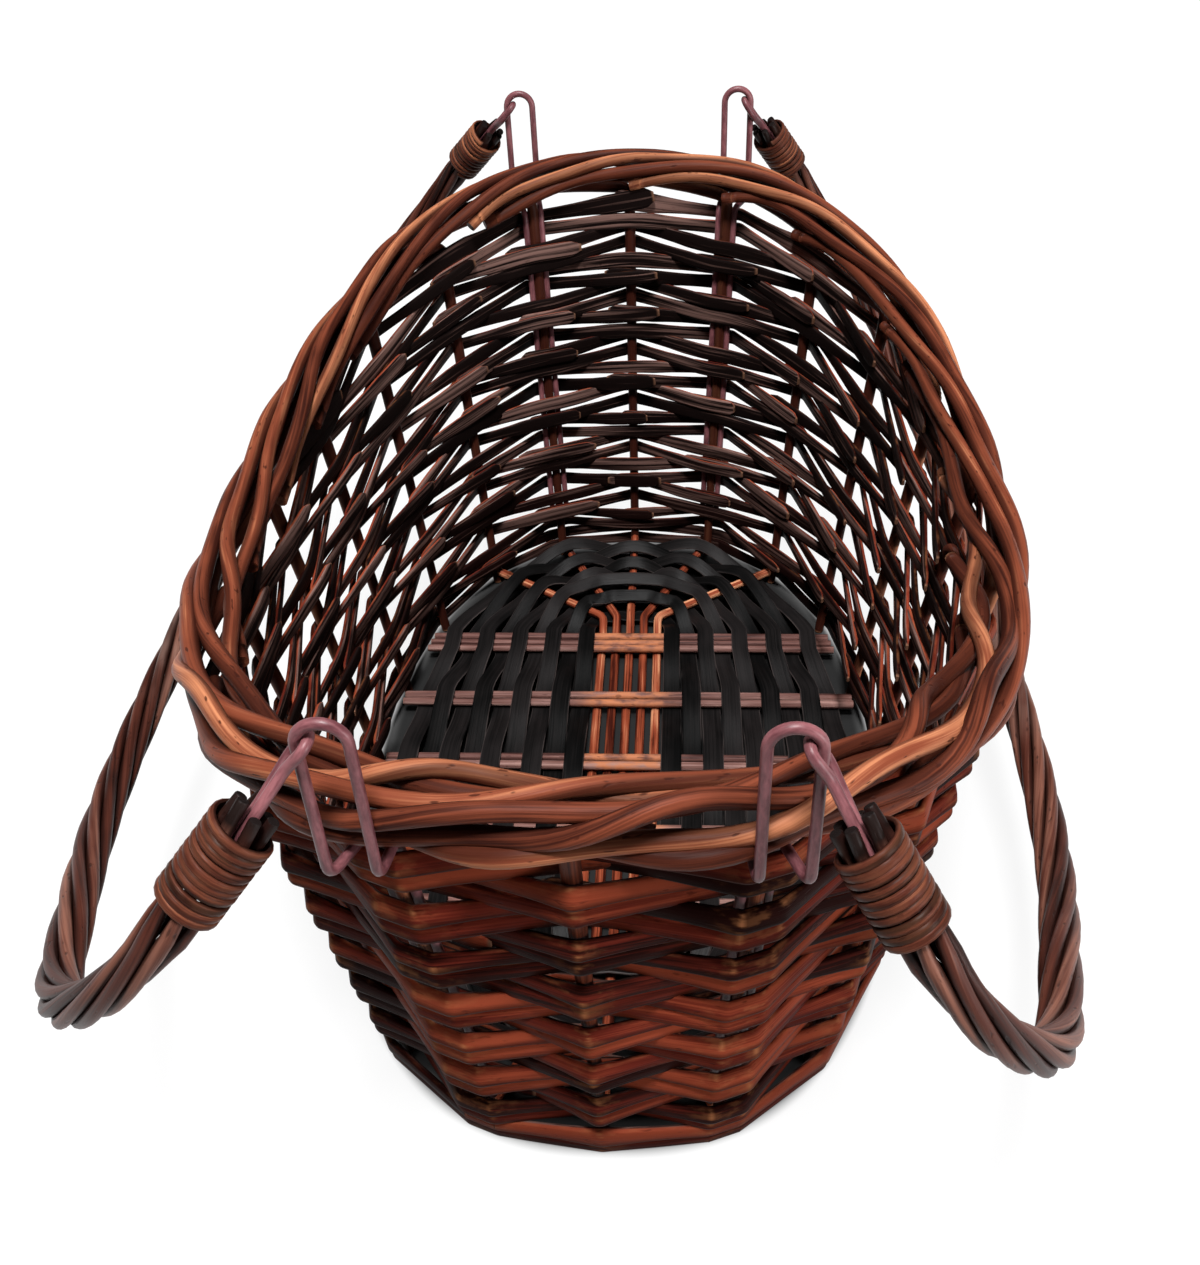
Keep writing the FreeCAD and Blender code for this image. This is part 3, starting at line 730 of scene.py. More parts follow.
def round_strand(points: Sequence[Vector], radius: Callable[[float], float], tone: float,
                 cut_ends: bool = True, faces: Optional[Sequence[Vector]] = None) -> Strand:
    """Round rod or wire through points.

    Args:
        points: Points of the centre line.
        radius: Radius for a share of the way from the first end to the last.
        tone: Share from 0 to 1 that sets the rod's own shade.
        cut_ends: Whether the ends show as cut.
        faces: Direction of the rod's open side at each point, where it matters.

    Returns:
        The strand.
    """
    last = len(points) - 1
    made = []
    for index, place in enumerate(points):
        size = radius(index / last)
        made.append(StrandPoint(place, size, size, faces[index] if faces else None))
    if cut_ends:
        for end, inner in ((0, 1), (last, last - 1)):
            rim = made[end].place.lerp(made[inner].place, RIM_SHARE)
            size = made[end].thick
            made[end].tip = 1.0
            made[end].thick = made[end].wide = size * CUT_SHARE
            made.insert(1 if end == 0 else len(made) - 1, StrandPoint(rim, size, size, made[end].face))
    return Strand(made, tone)


# Stakes and rolled border


@dataclass
class StakeRing:
    """Stakes and the border that their tops make."""

    plan: WallPlan
    seed: int = 11
    border_intervals: float = 6.0
    start_deg: float = -90.0
    turn_deg: float = 300.0
    bend_rise: float = 4.5
    end_spread: tuple[float, float] = (-0.3, 0.7)
    butt_radius: float = 3.35
    tip_radius: float = 2.9
    stray_deg: tuple[float, float] = (10.0, 30.0)
    back_stray: float = 0.35
    stray_lift: float = 0.12
    calm_start: float = -170.0
    calm_length: float = 200.0
    upright_steps: int = 14
    bend_steps: int = 6
    bend_pull: float = 0.45
    border_steps: int = 70
    tip_rise: tuple[float, float] = (0.6, 3.4)
    tip_run: float = 0.5
    wave_height: float = 0.6
    wave_rate: float = 4.3
    butt_spread: tuple[float, float] = (0.95, 1.03)
    tip_spread: tuple[float, float] = (0.92, 1.08)
    unevenness: float = 0.16
    proud_ends: dict[int, float] = field(default_factory=lambda: {17: 1.0, 18: 1.2})
    proud_rise: float = 8.0
    proud_depth: float = 7.0
    groups: dict[str, tuple[int, ...]] = field(default_factory=lambda: {
        "front_stakes": (18, 19, 0, 1, 2),
        "right_stakes": (3, 4, 5, 6, 7),
        "back_stakes": (8, 9, 10, 11, 12),
        "left_stakes": (13, 14, 15, 16, 17),
    })

    def border_place(self, stake: int, progress: float, lift: float, stray: float = 0.0) -> Vector:
        """Place of a stake's top in the border.

        Args:
            stake: Number of the stake.
            progress: Intervals run since the stake's own place.
            lift: Distance added to the roll's radius.
            stray: Angle in degrees that the rod strays round the roll between stakes.

        Returns:
            The place.
        """
        station = stake + progress
        centre = self.plan.border_centre(station)
        calm = blend(1.0, self.back_stray, ease((centre.y - self.calm_start) / self.calm_length))
        astray = stray * calm * math.sin(math.pi * station) * ease(progress)
        turn = math.radians(self.start_deg + self.turn_deg * progress / self.border_intervals + astray)
        arm = self.plan.outward(station) * math.cos(turn) + UP * math.sin(turn)
        return centre + arm * (self.plan.roll_radius + lift + astray * self.stray_lift)

    def upright(self, stake: int) -> tuple[list[Vector], list[Vector]]:
        """Stake from its foot to its bend into the border.

        Args:
            stake: Number of the stake.

        Returns:
            Points of the centre line and directions of the open side.
        """
        plan = self.plan
        foot = plan.stake_foot(stake)
        way = (plan.stake_top(stake) - foot).normalized()
        bend = plan.stake_top(stake) - way * self.bend_rise
        points = [foot.lerp(bend, step / self.upright_steps) for step in range(self.upright_steps + 1)]
        wall_face = plan.outward(stake)
        faces = [wall_face] * len(points)
        start = plan.bend_progress
        first = self.border_place(stake, start, 0.0)
        first_face = (first - plan.border_centre(stake + start)).normalized()
        chord = (first - bend).length
        ahead = (self.border_place(stake, start + plan.short_step, 0.0) - first).normalized()
        leave = bend + way * chord * self.bend_pull
        arrive = first - ahead * chord * self.bend_pull
        for step in range(1, self.bend_steps):
            share = step / self.bend_steps
            rest = 1 - share
            points.append(
                bend * rest ** 3 + leave * (3 * rest * rest * share)
                + arrive * (3 * rest * share * share) + first * share ** 3)
            faces.append(wall_face.lerp(first_face, ease(share)))
        return points, faces

    def strand(self, stake: int, dice: random.Random) -> Strand:
        """One stake from its foot to its tip in the border.

        Args:
            stake: Number of the stake.
            dice: Source of chance.

        Returns:
            The strand.
        """
        plan = self.plan
        points, faces = self.upright(stake)
        upright_count = len(points)
        end = self.border_intervals + dice.uniform(*self.end_spread)
        stand_off = dice.uniform(*self.tip_rise)
        stray = dice.uniform(*self.stray_deg) * (1 if stake % 2 == 0 else -1)
        wave = dice.uniform(0.0, 2 * math.pi)
        for step in range(self.border_steps + 1):
            progress = blend(plan.bend_progress, end, step / self.border_steps)
            near_tip = ease((progress - end + self.tip_run) / self.tip_run)
            ripple = self.wave_height * math.sin(wave + self.wave_rate * progress) * ease(progress)
            place = self.border_place(stake, progress, stand_off * near_tip + ripple, stray)
            faces.append(place - plan.border_centre(stake + progress))
            proud = self.proud_ends.get(stake, 0.0) * near_tip
            inside = plan.outward(stake + progress) * -self.proud_depth
            points.append(place + (UP * self.proud_rise + inside) * proud)
        last = len(points) - 1
        butt = self.butt_radius * dice.uniform(*self.butt_spread)
        tip = self.tip_radius * dice.uniform(*self.tip_spread)

        def radius(share: float) -> float:
            """Slim in the wall, full at the bend, tapering to the tip."""
            index = share * last
            if index < upright_count:
                return blend(plan.stake_radius, butt, ease(index / upright_count))
            return blend(butt, tip, (index - upright_count) / (last - upright_count))

        return round_strand(points, radius, dice.random(), faces=faces)

    def build(self, shop: Workshop) -> None:
        """Make and seat the four groups of stakes."""
        dice = random.Random(self.seed)
        for node, members in self.groups.items():
            strands = [self.strand(stake, dice) for stake in members]
            name = node.replace("stakes", "stake_rods")
            piece = shop.make(name, strands, Section.ROD, "stake_willow", self.unevenness)
            shop.seat(piece, "basket", "stake_willow", node)


# Woven wall


@dataclass
class Crease:
    """Corner of a split's path: place, half width, outward direction, wear and rounding."""

    place: Vector
    half: float
    face: Vector
    wear: float
    rounding: float


@dataclass
class WovenWall:
    """Bands of split rods, woven in front of and behind the stakes."""

    plan: WallPlan
    seed: int = 23
    bands: int = 14
    layers: int = 2
    intervals: int = 4
    thickness: float = 2.2
    split_gap: float = 0.5
    bulge: float = 2.1
    back_share: float = 0.28
    fullness: float = 1.05
    stand_off: float = 1.8
    front_spread: float = 1.2
    back_spread: float = 1.16
    pinch: float = 0.16
    top_spread: float = 1.08
    foot_share: float = 1.5
    top_share: float = 1.35
    face_tilt: float = 0.22
    sharp_rounding: float = 1.3
    soft_rounding: float = 13.0
    wander: float = 0.7
    side_fullness: float = 0.06
    back_wear: float = 0.1
    lap_gap: float = 0.3
    end_run: float = 18.0
    foot_end_run: float = 0.5
    run_spread: tuple[float, float] = (0.4, 1.0)
    run_straighten: float = 0.6
    full_spread: tuple[float, float] = (0.86, 1.07)
    thick_spread: tuple[float, float] = (0.9, 1.06)
    spacing: float = 9.0
    rounding_cap: float = 0.45
    crease_steps: int = 4
    crease_fade: float = 0.7
    ground_share: float = 1.1
    rim_share: float = 0.55
    rim_thick: float = 0.85
    rim_wide: float = 0.94
    tip_thick: float = 0.5
    tip_wide: float = 0.42
    unevenness: float = 0.18

    def seat_distance(self, stake: int) -> float:
        """Distance of a split's near side from the stake's centre line."""
        plan = self.plan
        before = plan.stake_foot(stake) - plan.stake_foot(stake - 1)
        after = plan.stake_foot(stake + 1) - plan.stake_foot(stake)
        swing = math.atan2(2 * plan.stake_radius + self.thickness, min(before.length, after.length))
        return (plan.stake_radius + plan.fit_gap) / math.cos(before.angle(after) / 2 + swing)

    def is_inside(self, band: int, stake: int) -> bool:
        """Whether a band passes behind a stake."""
        return band > 0 and (stake + band) % 2 == 1

    def depth(self, station: int) -> float:
        """Height that one split takes at a stake."""
        return self.plan.weave_top(station) / self.bands / self.layers

    def spread(self, band: int, inside: bool) -> float:
        """Share of its own height that a band takes at a stake: splits are widest where they show."""
        if band < 2:
            return 1.0
        if inside:
            return self.back_spread
        return self.top_spread if band == self.bands - 1 else self.front_spread

    def level(self, band: int, layer: int, stake: int) -> tuple[float, float]:
        """Height of a split's middle at a stake, and the height that it takes there.

        Args:
            band: Number of the band, from the ground.
            layer: Number of the split in its band.
            stake: Number of the stake, which may run past the last.

        Returns:
            Both heights.
        """
        station = stake % self.plan.stake_count
        depth = self.depth(station)
        wide = depth * self.spread(band, self.is_inside(band, stake))
        middle = (band + 0.5) * self.layers * depth
        height = middle + (layer - (self.layers - 1) / 2) * wide - self.split_gap / 2
        share = 1.0
        if band == 0 and layer == 1 and self.is_inside(1, stake):
            share = self.foot_share
        if band == self.bands - 1 and layer == 1 and station not in self.plan.eye_stakes:
            share = self.top_share
        return height + depth * (share - 1) / 2, wide * share

    def creases(self, band: int, layer: int, stake: int, lift: float, deeper: float) -> list[Crease]:
        """Corners of a split at one stake, two where a wire eye stands.

        Args:
            band: Number of the band, from the ground.
            layer: Number of the split in its band.
            stake: Number of the stake, which may run past the last.
            lift: Height added to the split's own.
            deeper: Distance further into the basket.

        Returns:
            The corners.
        """
        plan = self.plan
        station = stake % plan.stake_count
        outward = plan.outward(station)
        near = self.seat_distance(station)
        inside = self.is_inside(band, stake)
        height, wide = self.level(band, layer, stake)
        offset = near + self.back_share * self.bulge + self.stand_off
        if inside:
            offset = -near - self.bulge - deeper
        place = plan.stake_point(station, height + lift) + outward * offset
        flat = plan.stake_radius + 2 * plan.fit_gap + 2 * plan.wire_radius
        shifts = (-flat, flat) if station in plan.eye_stakes else (0.0,)
        half = (wide - self.split_gap) / 2 * (self.fullness + abs(outward.x) * self.side_fullness)
        rounding = self.soft_rounding if inside else self.sharp_rounding
        wear = self.back_wear if inside else 1.0
        face = outward
        if band and not inside:
            face = (outward + UP * self.face_tilt).normalized()
        return [
            Crease(place + plan.along(station) * shift, half, face, wear, rounding)
            for shift in shifts
        ]

    def split(self, band: int, layer: int, first: int, dice: random.Random) -> Strand:
        """One split rod, from behind one stake to behind another.

        Args:
            band: Number of the band.
            layer: Number of the split in its band.
            first: Stake at which it starts.
            dice: Source of chance.

        Returns:
            The strand.
        """
        wander = self.wander if band else 0.0
        rows: list[Crease] = []
        for stake in range(first, first + self.intervals + 1):
            lapped = stake == first and self.is_inside(band, stake)
            deeper = self.thickness + self.lap_gap if lapped else 0.0
            rows += self.creases(band, layer, stake, dice.uniform(-wander, wander), deeper)
        longest = self.end_run if band else self.foot_end_run
        ends = [
            self.run_on(rows[end], rows[inner], dice.uniform(*self.run_spread) * longest)
            for end, inner in ((0, 1), (-1, -2))
        ]
        strand = self.laid([ends[0]] + rows + [ends[1]], dice)
        if band == 0:
            self.keep_off_ground(strand.points)
        else:
            self.chisel(strand.points)
        return strand

    def run_on(self, near: Crease, inner: Crease, length: float) -> Crease:
        """Cut end that runs on past its stake.

        Args:
            near: Corner at the stake.
            inner: Corner before it.
            length: Distance past the stake.

        Returns:
            The end.
        """
        way = (near.place - inner.place).normalized()
        way -= near.face * (way.dot(near.face) * self.run_straighten)
        return Crease(near.place + way.normalized() * length, near.half, near.face, 0.0, 0.0)

    def laid(self, rows: Sequence[Crease], dice: random.Random) -> Strand:
        """Strand through corners, each rounded as it asks.

        Args:
            rows: Corners of the split, with both ends.
            dice: Source of chance.

        Returns:
            The strand.
        """
        points: list[StrandPoint] = []
        full = dice.uniform(*self.full_spread)
        thick = self.bulge * dice.uniform(*self.thick_spread)

        def add(place: Vector, half: float, face: Vector, wear: float) -> None:
            """Add one place of the strand."""
            points.append(StrandPoint(place, thick, half * full, face, wear))

        def beside(here: Crease, row: Crease) -> Vector:
            """Place where a corner's rounding ends on the side of a neighbour."""
            share = here.rounding / (row.place - here.place).length
            return here.place.lerp(row.place, min(share, self.rounding_cap))

        def run_to(place: Vector, before: Crease, here: Crease) -> None:
            """Add the straight run up to a place, without the place itself."""
            start = points[-1].place
            steps = max(1, round((place - start).length / self.spacing))
            for step in range(1, steps):
                share = step / steps
                half = blend(before.half, here.half, share) * (1 - self.pinch * math.sin(math.pi * share))
                add(start.lerp(place, share), half, before.face.lerp(here.face, share), 0.0)

        add(rows[0].place, rows[0].half, rows[0].face, 0.0)
        for before, here, after in zip(rows, rows[1:], rows[2:]):
            enter = beside(here, before)
            leave = beside(here, after)
            run_to(enter, before, here)
            for step in range(self.crease_steps + 1):
                share = step / self.crease_steps
                rest = 1 - share
                place = enter * rest ** 2 + here.place * (2 * rest * share) + leave * share ** 2
                add(place, here.half, here.face, here.wear * (1 - self.crease_fade * abs(2 * share - 1)))
        run_to(rows[-1].place, rows[-2], rows[-1])
        add(rows[-1].place, rows[-1].half, rows[-1].face, 0.0)
        return Strand(points, dice.random())

    def keep_off_ground(self, points: Sequence[StrandPoint]) -> None:
        """Keep the lowest splits on the surface that the basket stands on."""
        for point in points:
            point.place.z = max(point.place.z, point.wide * self.ground_share)

    def chisel(self, points: list[StrandPoint]) -> None:
        """Thin both ends to a slanting cut."""
        for end, inner in ((0, 1), (-1, -2)):
            tip = points[end]
            rim = tip.place.lerp(points[inner].place, self.rim_share)
            tip.tip = 1.0
            neck = StrandPoint(rim, tip.thick * self.rim_thick, tip.wide * self.rim_wide, tip.face)
            tip.thick *= self.tip_thick
            tip.wide *= self.tip_wide
            points.insert(1 if end == 0 else len(points) - 1, neck)

    def build(self, shop: Workshop) -> None:
        """Make and seat all bands."""
        dice = random.Random(self.seed)
        for band in range(self.bands):
            strands = []
            for layer in range(self.layers):
                start = (band + 1) % 2 + 2 * ((band // 2 + layer) % 2)
                for first in range(start, start + self.plan.stake_count, self.intervals):
                    strands.append(self.split(band, layer, first, dice))
            node = "foot_band" if band == 0 else f"weave_band_{band:02d}"
            piece = shop.make(f"{node}_splits", strands, Section.SPLIT, "split_willow", self.unevenness)
            shop.seat(piece, "basket", "split_willow", node)


# Base


@dataclass
class Rib:
    """Sticks that the ribbons cross together."""

    inner: Vector
    outer: Vector
    half_breadth: float
    grouped_index: int


@dataclass
class Knot:
    """Place where a ribbon comes to a rib or leaves it, its half width and its lean there."""

    place: Vector
    half: float
    lean: Vector


@dataclass
class BasketBase:
    """Sticks of the base and the flat ribbons woven round them."""

    plan: WallPlan
    seed: int = 37
    stick_radius: float = 2.4
    long_gap: float = 3.0
    ground_gap: float = 0.6
    row_pitch: float = 47.0
    fan_rise: float = 14.0
    ribbon_thickness: float = 1.2
    ribbon_gap: float = 1.2
    wall_gap: float = 8.0
    half_rows: int = 2
    half_long: int = 2
    rounds: int = 9
    grouped_rounds: int = 4
    dip_radius: float = 20.0
    fan_radius: float = 6.0
    bare_half: float = 20.0
    ribbon_fullness: float = 1.09
    arch: float = 2.6
    lean: float = 0.6
    bare_lead: float = 6.0
    bare_fade: float = 14.0
    stick_bow: float = 0.9
    thin_spread: tuple[float, float] = (0.86, 0.98)
    half_steps: int = 20
    stick_spacing: float = 8.0
    stick_unevenness: float = 0.14
    short_span: float = 4.0
    ribbon_spacing: float = 5.0
    crossing_steps: int = 2
    span_steps: int = 4
    ribbon_tilt: float = 0.12
    ribbon_bow: float = 0.8
    ribbon_unevenness: float = 0.1

    @property
    def long_height(self) -> float:
        """Height of the lengthwise sticks."""
        return self.ground_gap + self.stick_radius

    @property
    def rib_height(self) -> float:
        """Height of the cross sticks and of the fans."""
        return self.long_height + 2 * self.stick_radius + self.plan.fit_gap

    @property
    def pitch(self) -> float:
        """Distance between neighbouring cross sticks."""
        return 2 * self.stick_radius + self.plan.fit_gap / 2

    @property
    def long_pitch(self) -> float:
        """Distance between neighbouring lengthwise sticks."""
        return 2 * self.stick_radius + self.long_gap

    def row_count(self, row: int) -> int:
        """Sticks in one row."""
        return 3 if abs(row) == self.half_rows else 2

    def row_half(self, row: int) -> float:
        """Half breadth of one row."""
        return (self.row_count(row) - 1) / 2 * self.pitch + self.stick_radius

    def cross_sticks(self, dice: random.Random) -> list[Strand]:
        """Straight sticks across the base."""
        plan = self.plan
        strands = []
        climb = self.rib_height - plan.stake_foot_height
        upright = plan.border_height_side - plan.roll_radius - plan.stake_foot_height
        width = plan.base_width + (plan.rim_width - plan.base_width) * climb / upright
        for row in range(-self.half_rows, self.half_rows + 1):
            count = self.row_count(row)
            for member in range(count):
                y = row * self.row_pitch + (member - (count - 1) / 2) * self.pitch
                reach = plan.half_width(width, plan.base_length, y) - plan.stake_radius - plan.fit_gap
                bow = dice.uniform(-self.stick_bow, self.stick_bow)
                points = []
                for step in range(-self.half_steps, self.half_steps + 1):
                    share = step / self.half_steps
                    points.append(Vector((reach * share, y + bow * (1 - share * share), self.rib_height)))
                thin = dice.uniform(*self.thin_spread)
                strand = round_strand(points, lambda share: self.stick_radius * thin, dice.random())
                for point in strand.points:
                    past = abs(point.place.x) - self.bare_half + self.bare_lead
                    point.wear = 1 - ease(past / self.bare_fade)
                strands.append(strand)
        return strands

    def fan_inner(self, stick: int, end: int) -> Vector:
        """Place where a lengthwise stick leaves the bundle."""
        start = self.half_rows * self.row_pitch + self.row_half(self.half_rows) + self.stick_radius
        return Vector((stick * self.long_pitch, end * (start + self.fan_rise), self.rib_height))

    def fan_outer(self, stick: int, end: int, gap: float) -> Vector:
        """Place where a lengthwise stick ends, short of its stake.

        Args:
            stick: Number of the stick from the middle one.
            end: -1 at the front, 1 at the back.
            gap: Distance from the stake's centre line.

        Returns:
            The place.
        """
        station = stick % self.plan.stake_count if end < 0 else self.plan.stake_count // 2 - stick
        wall = self.plan.stake_point(station, self.rib_height)
        return wall - (wall - self.fan_inner(stick, end)).normalized() * gap

    def long_sticks(self, dice: random.Random) -> list[Strand]:
        """Lengthwise sticks, under the cross rows and fanned out at both ends."""
        strands = []
        dip_end = self.fan_inner(0, 1).y - self.fan_rise
        gap = self.plan.stake_radius + self.plan.fit_gap
        for stick in range(-self.half_long, self.half_long + 1):
            corners = []
            for end in (-1, 1):
                dip = Vector((stick * self.long_pitch, end * dip_end, self.long_height))
                side = [self.fan_outer(stick, end, gap), self.fan_inner(stick, end), dip]
                corners += side if end < 0 else side[::-1]
            radii = (self.fan_radius, self.dip_radius, self.dip_radius, self.fan_radius)
            points = fillet_path(corners, radii, self.stick_spacing)
            strands.append(round_strand(points, lambda share: self.stick_radius, dice.random()))
        return strands

    def ribs(self) -> list[Rib]:
        """All ribs, anticlockwise from the right side."""
        plan = self.plan
        rows = list(range(-self.half_rows, self.half_rows + 1))
        sticks = list(range(-self.half_long, self.half_long + 1))
        bundle = self.half_long * self.long_pitch + self.stick_radius
        found: dict[int, list[Rib]] = {1: [], -1: []}
        for hand in (1, -1):
            for place, row in enumerate(rows[::hand]):
                y = row * self.row_pitch
                half = self.row_half(row)
                wall = plan.half_width(plan.base_width, plan.base_length, abs(y) + half)
                inner = Vector((hand * (bundle + self.ribbon_gap), y, self.rib_height))
                outer = Vector((hand * (wall - self.wall_gap), y, self.rib_height))
                index = place if hand > 0 else len(rows) + 1 + place
                found[hand].append(Rib(inner, outer, half + plan.fit_gap, index))
            for stick in sticks[::-hand]:
                index = len(rows) if hand > 0 else 2 * len(rows) + 1
                outer = self.fan_outer(stick, hand, self.wall_gap)
                found[hand].append(
                    Rib(self.fan_inner(stick, hand), outer, self.stick_radius + plan.fit_gap, index))
        return found[1] + found[-1]

    def knots(self, turn: int, ribs: Sequence[Rib]) -> list[Knot]:
        """Knots of one round of ribbon, two at each rib.

        Args:
            turn: Number of the round from the middle.
            ribs: Ribs that it crosses.

        Returns:
            The knots in order.
        """
        level = self.stick_radius + self.plan.fit_gap + self.ribbon_thickness / 2
        found = []
        for index, rib in enumerate(ribs):
            place = rib.grouped_index if turn < self.grouped_rounds else index
            over = 1 if (place + turn) % 2 == 0 else -1
            way = rib.outer - rib.inner
            length = way.length
            way.normalize()
            fan = abs(way.y) if over > 0 else 0.0
            centre = rib.inner + way * (length * (turn + 0.5) / self.rounds)
            centre += UP * (over * level + fan * self.arch)
            half = (length / self.rounds - self.ribbon_gap) / 2 * self.ribbon_fullness
            across = Vector((-way.y, way.x, 0.0))
            for shift in (-rib.half_breadth, rib.half_breadth):
                found.append(Knot(centre + across * shift, half, way * (-self.lean * fan)))
        return found

    def ribbon(self, turn: int, ribs: Sequence[Rib], dice: random.Random) -> Strand:
        """One round of ribbon.

        Args:
            turn: Number of the round from the middle.
            ribs: Ribs that it crosses.
            dice: Source of chance.

        Returns:
            The closed strand.
        """
        knots = self.knots(turn, ribs)
        points = []
        count = len(knots)
        for index, knot in enumerate(knots):
            following = knots[(index + 1) % count]
            here = knot.place
            after = following.place
            beyond = knots[(index + 2) % count].place
            span = (after - here).length
            crossing = index % 2 == 0
            steps = self.crossing_steps
            if not crossing and span >= self.short_span:
                steps = max(self.span_steps, round(span / self.ribbon_spacing))
            way_in = (after - knots[index - 1].place).normalized() * span
            way_out = (beyond - here).normalized() * span
            tilt = dice.uniform(-self.ribbon_tilt, self.ribbon_tilt)
            for step in range(steps):
                share = step / steps
                rest = 1 - share
                place = here.lerp(after, share)
                if not crossing:
                    bow = way_in * (share * rest * rest) - way_out * (share * share * rest)
                    bow -= (after - here) * (share * rest * rest - share * share * rest)
                    place += Vector((bow.x, bow.y, 0.0)) * self.ribbon_bow
                    place.z = blend(here.z, after.z, ease(share))
                side = Vector((place.x, place.y, 0.0)).normalized()
                face = UP + side * (tilt * 4 * share * rest) + knot.lean.lerp(following.lean, share)
                half = blend(knot.half, following.half, share)
                points.append(StrandPoint(place, self.ribbon_thickness / 2, half, face))
        return Strand(points, dice.random(), closed=True)

    def build(self, shop: Workshop) -> None:
        """Make and seat the sticks and the ribbons."""
        dice = random.Random(self.seed)
        rough = self.stick_unevenness
        piece = shop.make("base_cross_rods", self.cross_sticks(dice), Section.ROD, "cross_stick", rough)
        shop.seat(piece, "basket", "base_stick", "base_cross_sticks")
        piece = shop.make("base_long_rods", self.long_sticks(dice), Section.ROD, "base_stick", rough)
        shop.seat(piece, "basket", "base_stick", "base_long_sticks")
        ribs = self.ribs()
        for turn in range(self.rounds):
            strand = self.ribbon(turn, ribs, dice)
            name = f"base_ribbon_{turn + 1:02d}"
            piece = shop.make(
                name + "_strip", [strand], Section.RIBBON, "base_ribbon", self.ribbon_unevenness)
            shop.seat(piece, "basket", "base_ribbon", name)


# Wire eyes

WIRE_UNEVENNESS = 0.03


@dataclass
class WireEyes:
    """Hairpins of coated wire that stand at the border and carry the handles."""

    plan: WallPlan
    width: float = 13.5
    rise: float = 43.0
    leg_bottom: float = 25.0
    coated_radius: float = 1.65
    leg_spacing: float = 6.0
    bend_share: float = 3.0
    bow_steps: int = 16
    tone: float = 0.5
    tone_step: float = 0.2

    @property
    def half(self) -> float:
        """Half distance between the legs."""
        return self.width / 2

    @cached_property
    def centre(self) -> Vector:
        """Middle between the legs of the front right eye."""
        plan = self.plan
        way_out = plan.outward(plan.eye_stake)
        clear = plan.roll_outside + plan.fit_gap + plan.wire_radius
        point = plan.border_centre(plan.eye_stake) + way_out * clear
        point.y -= self.half * abs(way_out.x / way_out.y)
        return point

    @property
    def bow_height(self) -> float:
        """Height at which the legs pass into the bow."""
        return self.plan.border_centre(self.plan.eye_stake).z + self.rise - self.half

    @property
    def link(self) -> Vector:
        """Hinge point of the front right handle end."""
        reach = self.half - 2 * self.plan.wire_radius
        shift = reach - self.plan.fit_gap
        corner = reach - self.plan.fit_gap / 2
        rise = math.sqrt(corner ** 2 - shift ** 2)
        return Vector((self.centre.x + shift, self.centre.y, self.bow_height + rise))

    def leg(self, hand: int) -> list[Vector]:
        """Corners of one leg, from its lower end to the bow."""
        plan = self.plan
        stake = plan.eye_stake
        clear = plan.roll_outside + plan.fit_gap + plan.wire_radius + plan.border_fall
        jog = plan.border_centre(stake).z - clear
        beside = plan.along(stake) * (hand * (plan.stake_radius + plan.fit_gap + plan.wire_radius))
        side = self.centre.x + hand * self.half
        return [
            plan.stake_point(stake, self.leg_bottom) + beside,
            plan.stake_point(stake, jog) + beside,
            Vector((side, self.centre.y, jog)),
            Vector((side, self.centre.y, self.bow_height)),
        ]

    def path(self) -> list[Vector]:
        """Points of the front right eye."""
        bend = self.bend_share * self.plan.wire_radius
        near, far = (fillet_path(self.leg(hand), (bend, bend), self.leg_spacing) for hand in (-1, 1))
        bow = []
        for step in range(1, self.bow_steps):
            turn = math.pi * (1 - step / self.bow_steps)
            place = Vector((math.cos(turn) * self.half, 0.0, math.sin(turn) * self.half))
            bow.append(Vector((self.centre.x, self.centre.y, self.bow_height)) + place)
        return near + bow + far[::-1]

    def build(self, shop: Workshop) -> None:
        """Make and seat the four eyes."""
        path = self.path()
        for end, end_name in ((1, "front"), (-1, "back")):
            for hand, hand_name in ((1, "right"), (-1, "left")):
                points = [Vector((place.x * hand, place.y * end, place.z)) for place in path]
                tone = self.tone + self.tone_step * hand
                strand = round_strand(points, lambda share: self.coated_radius, tone, False)
                node = f"{end_name}_{hand_name}_eye"
                piece = shop.make(node + "_wire", [strand], Section.WIRE, "coated_wire", WIRE_UNEVENNESS)
                shop.seat(piece, "basket", "coated_wire", node)


# Handles


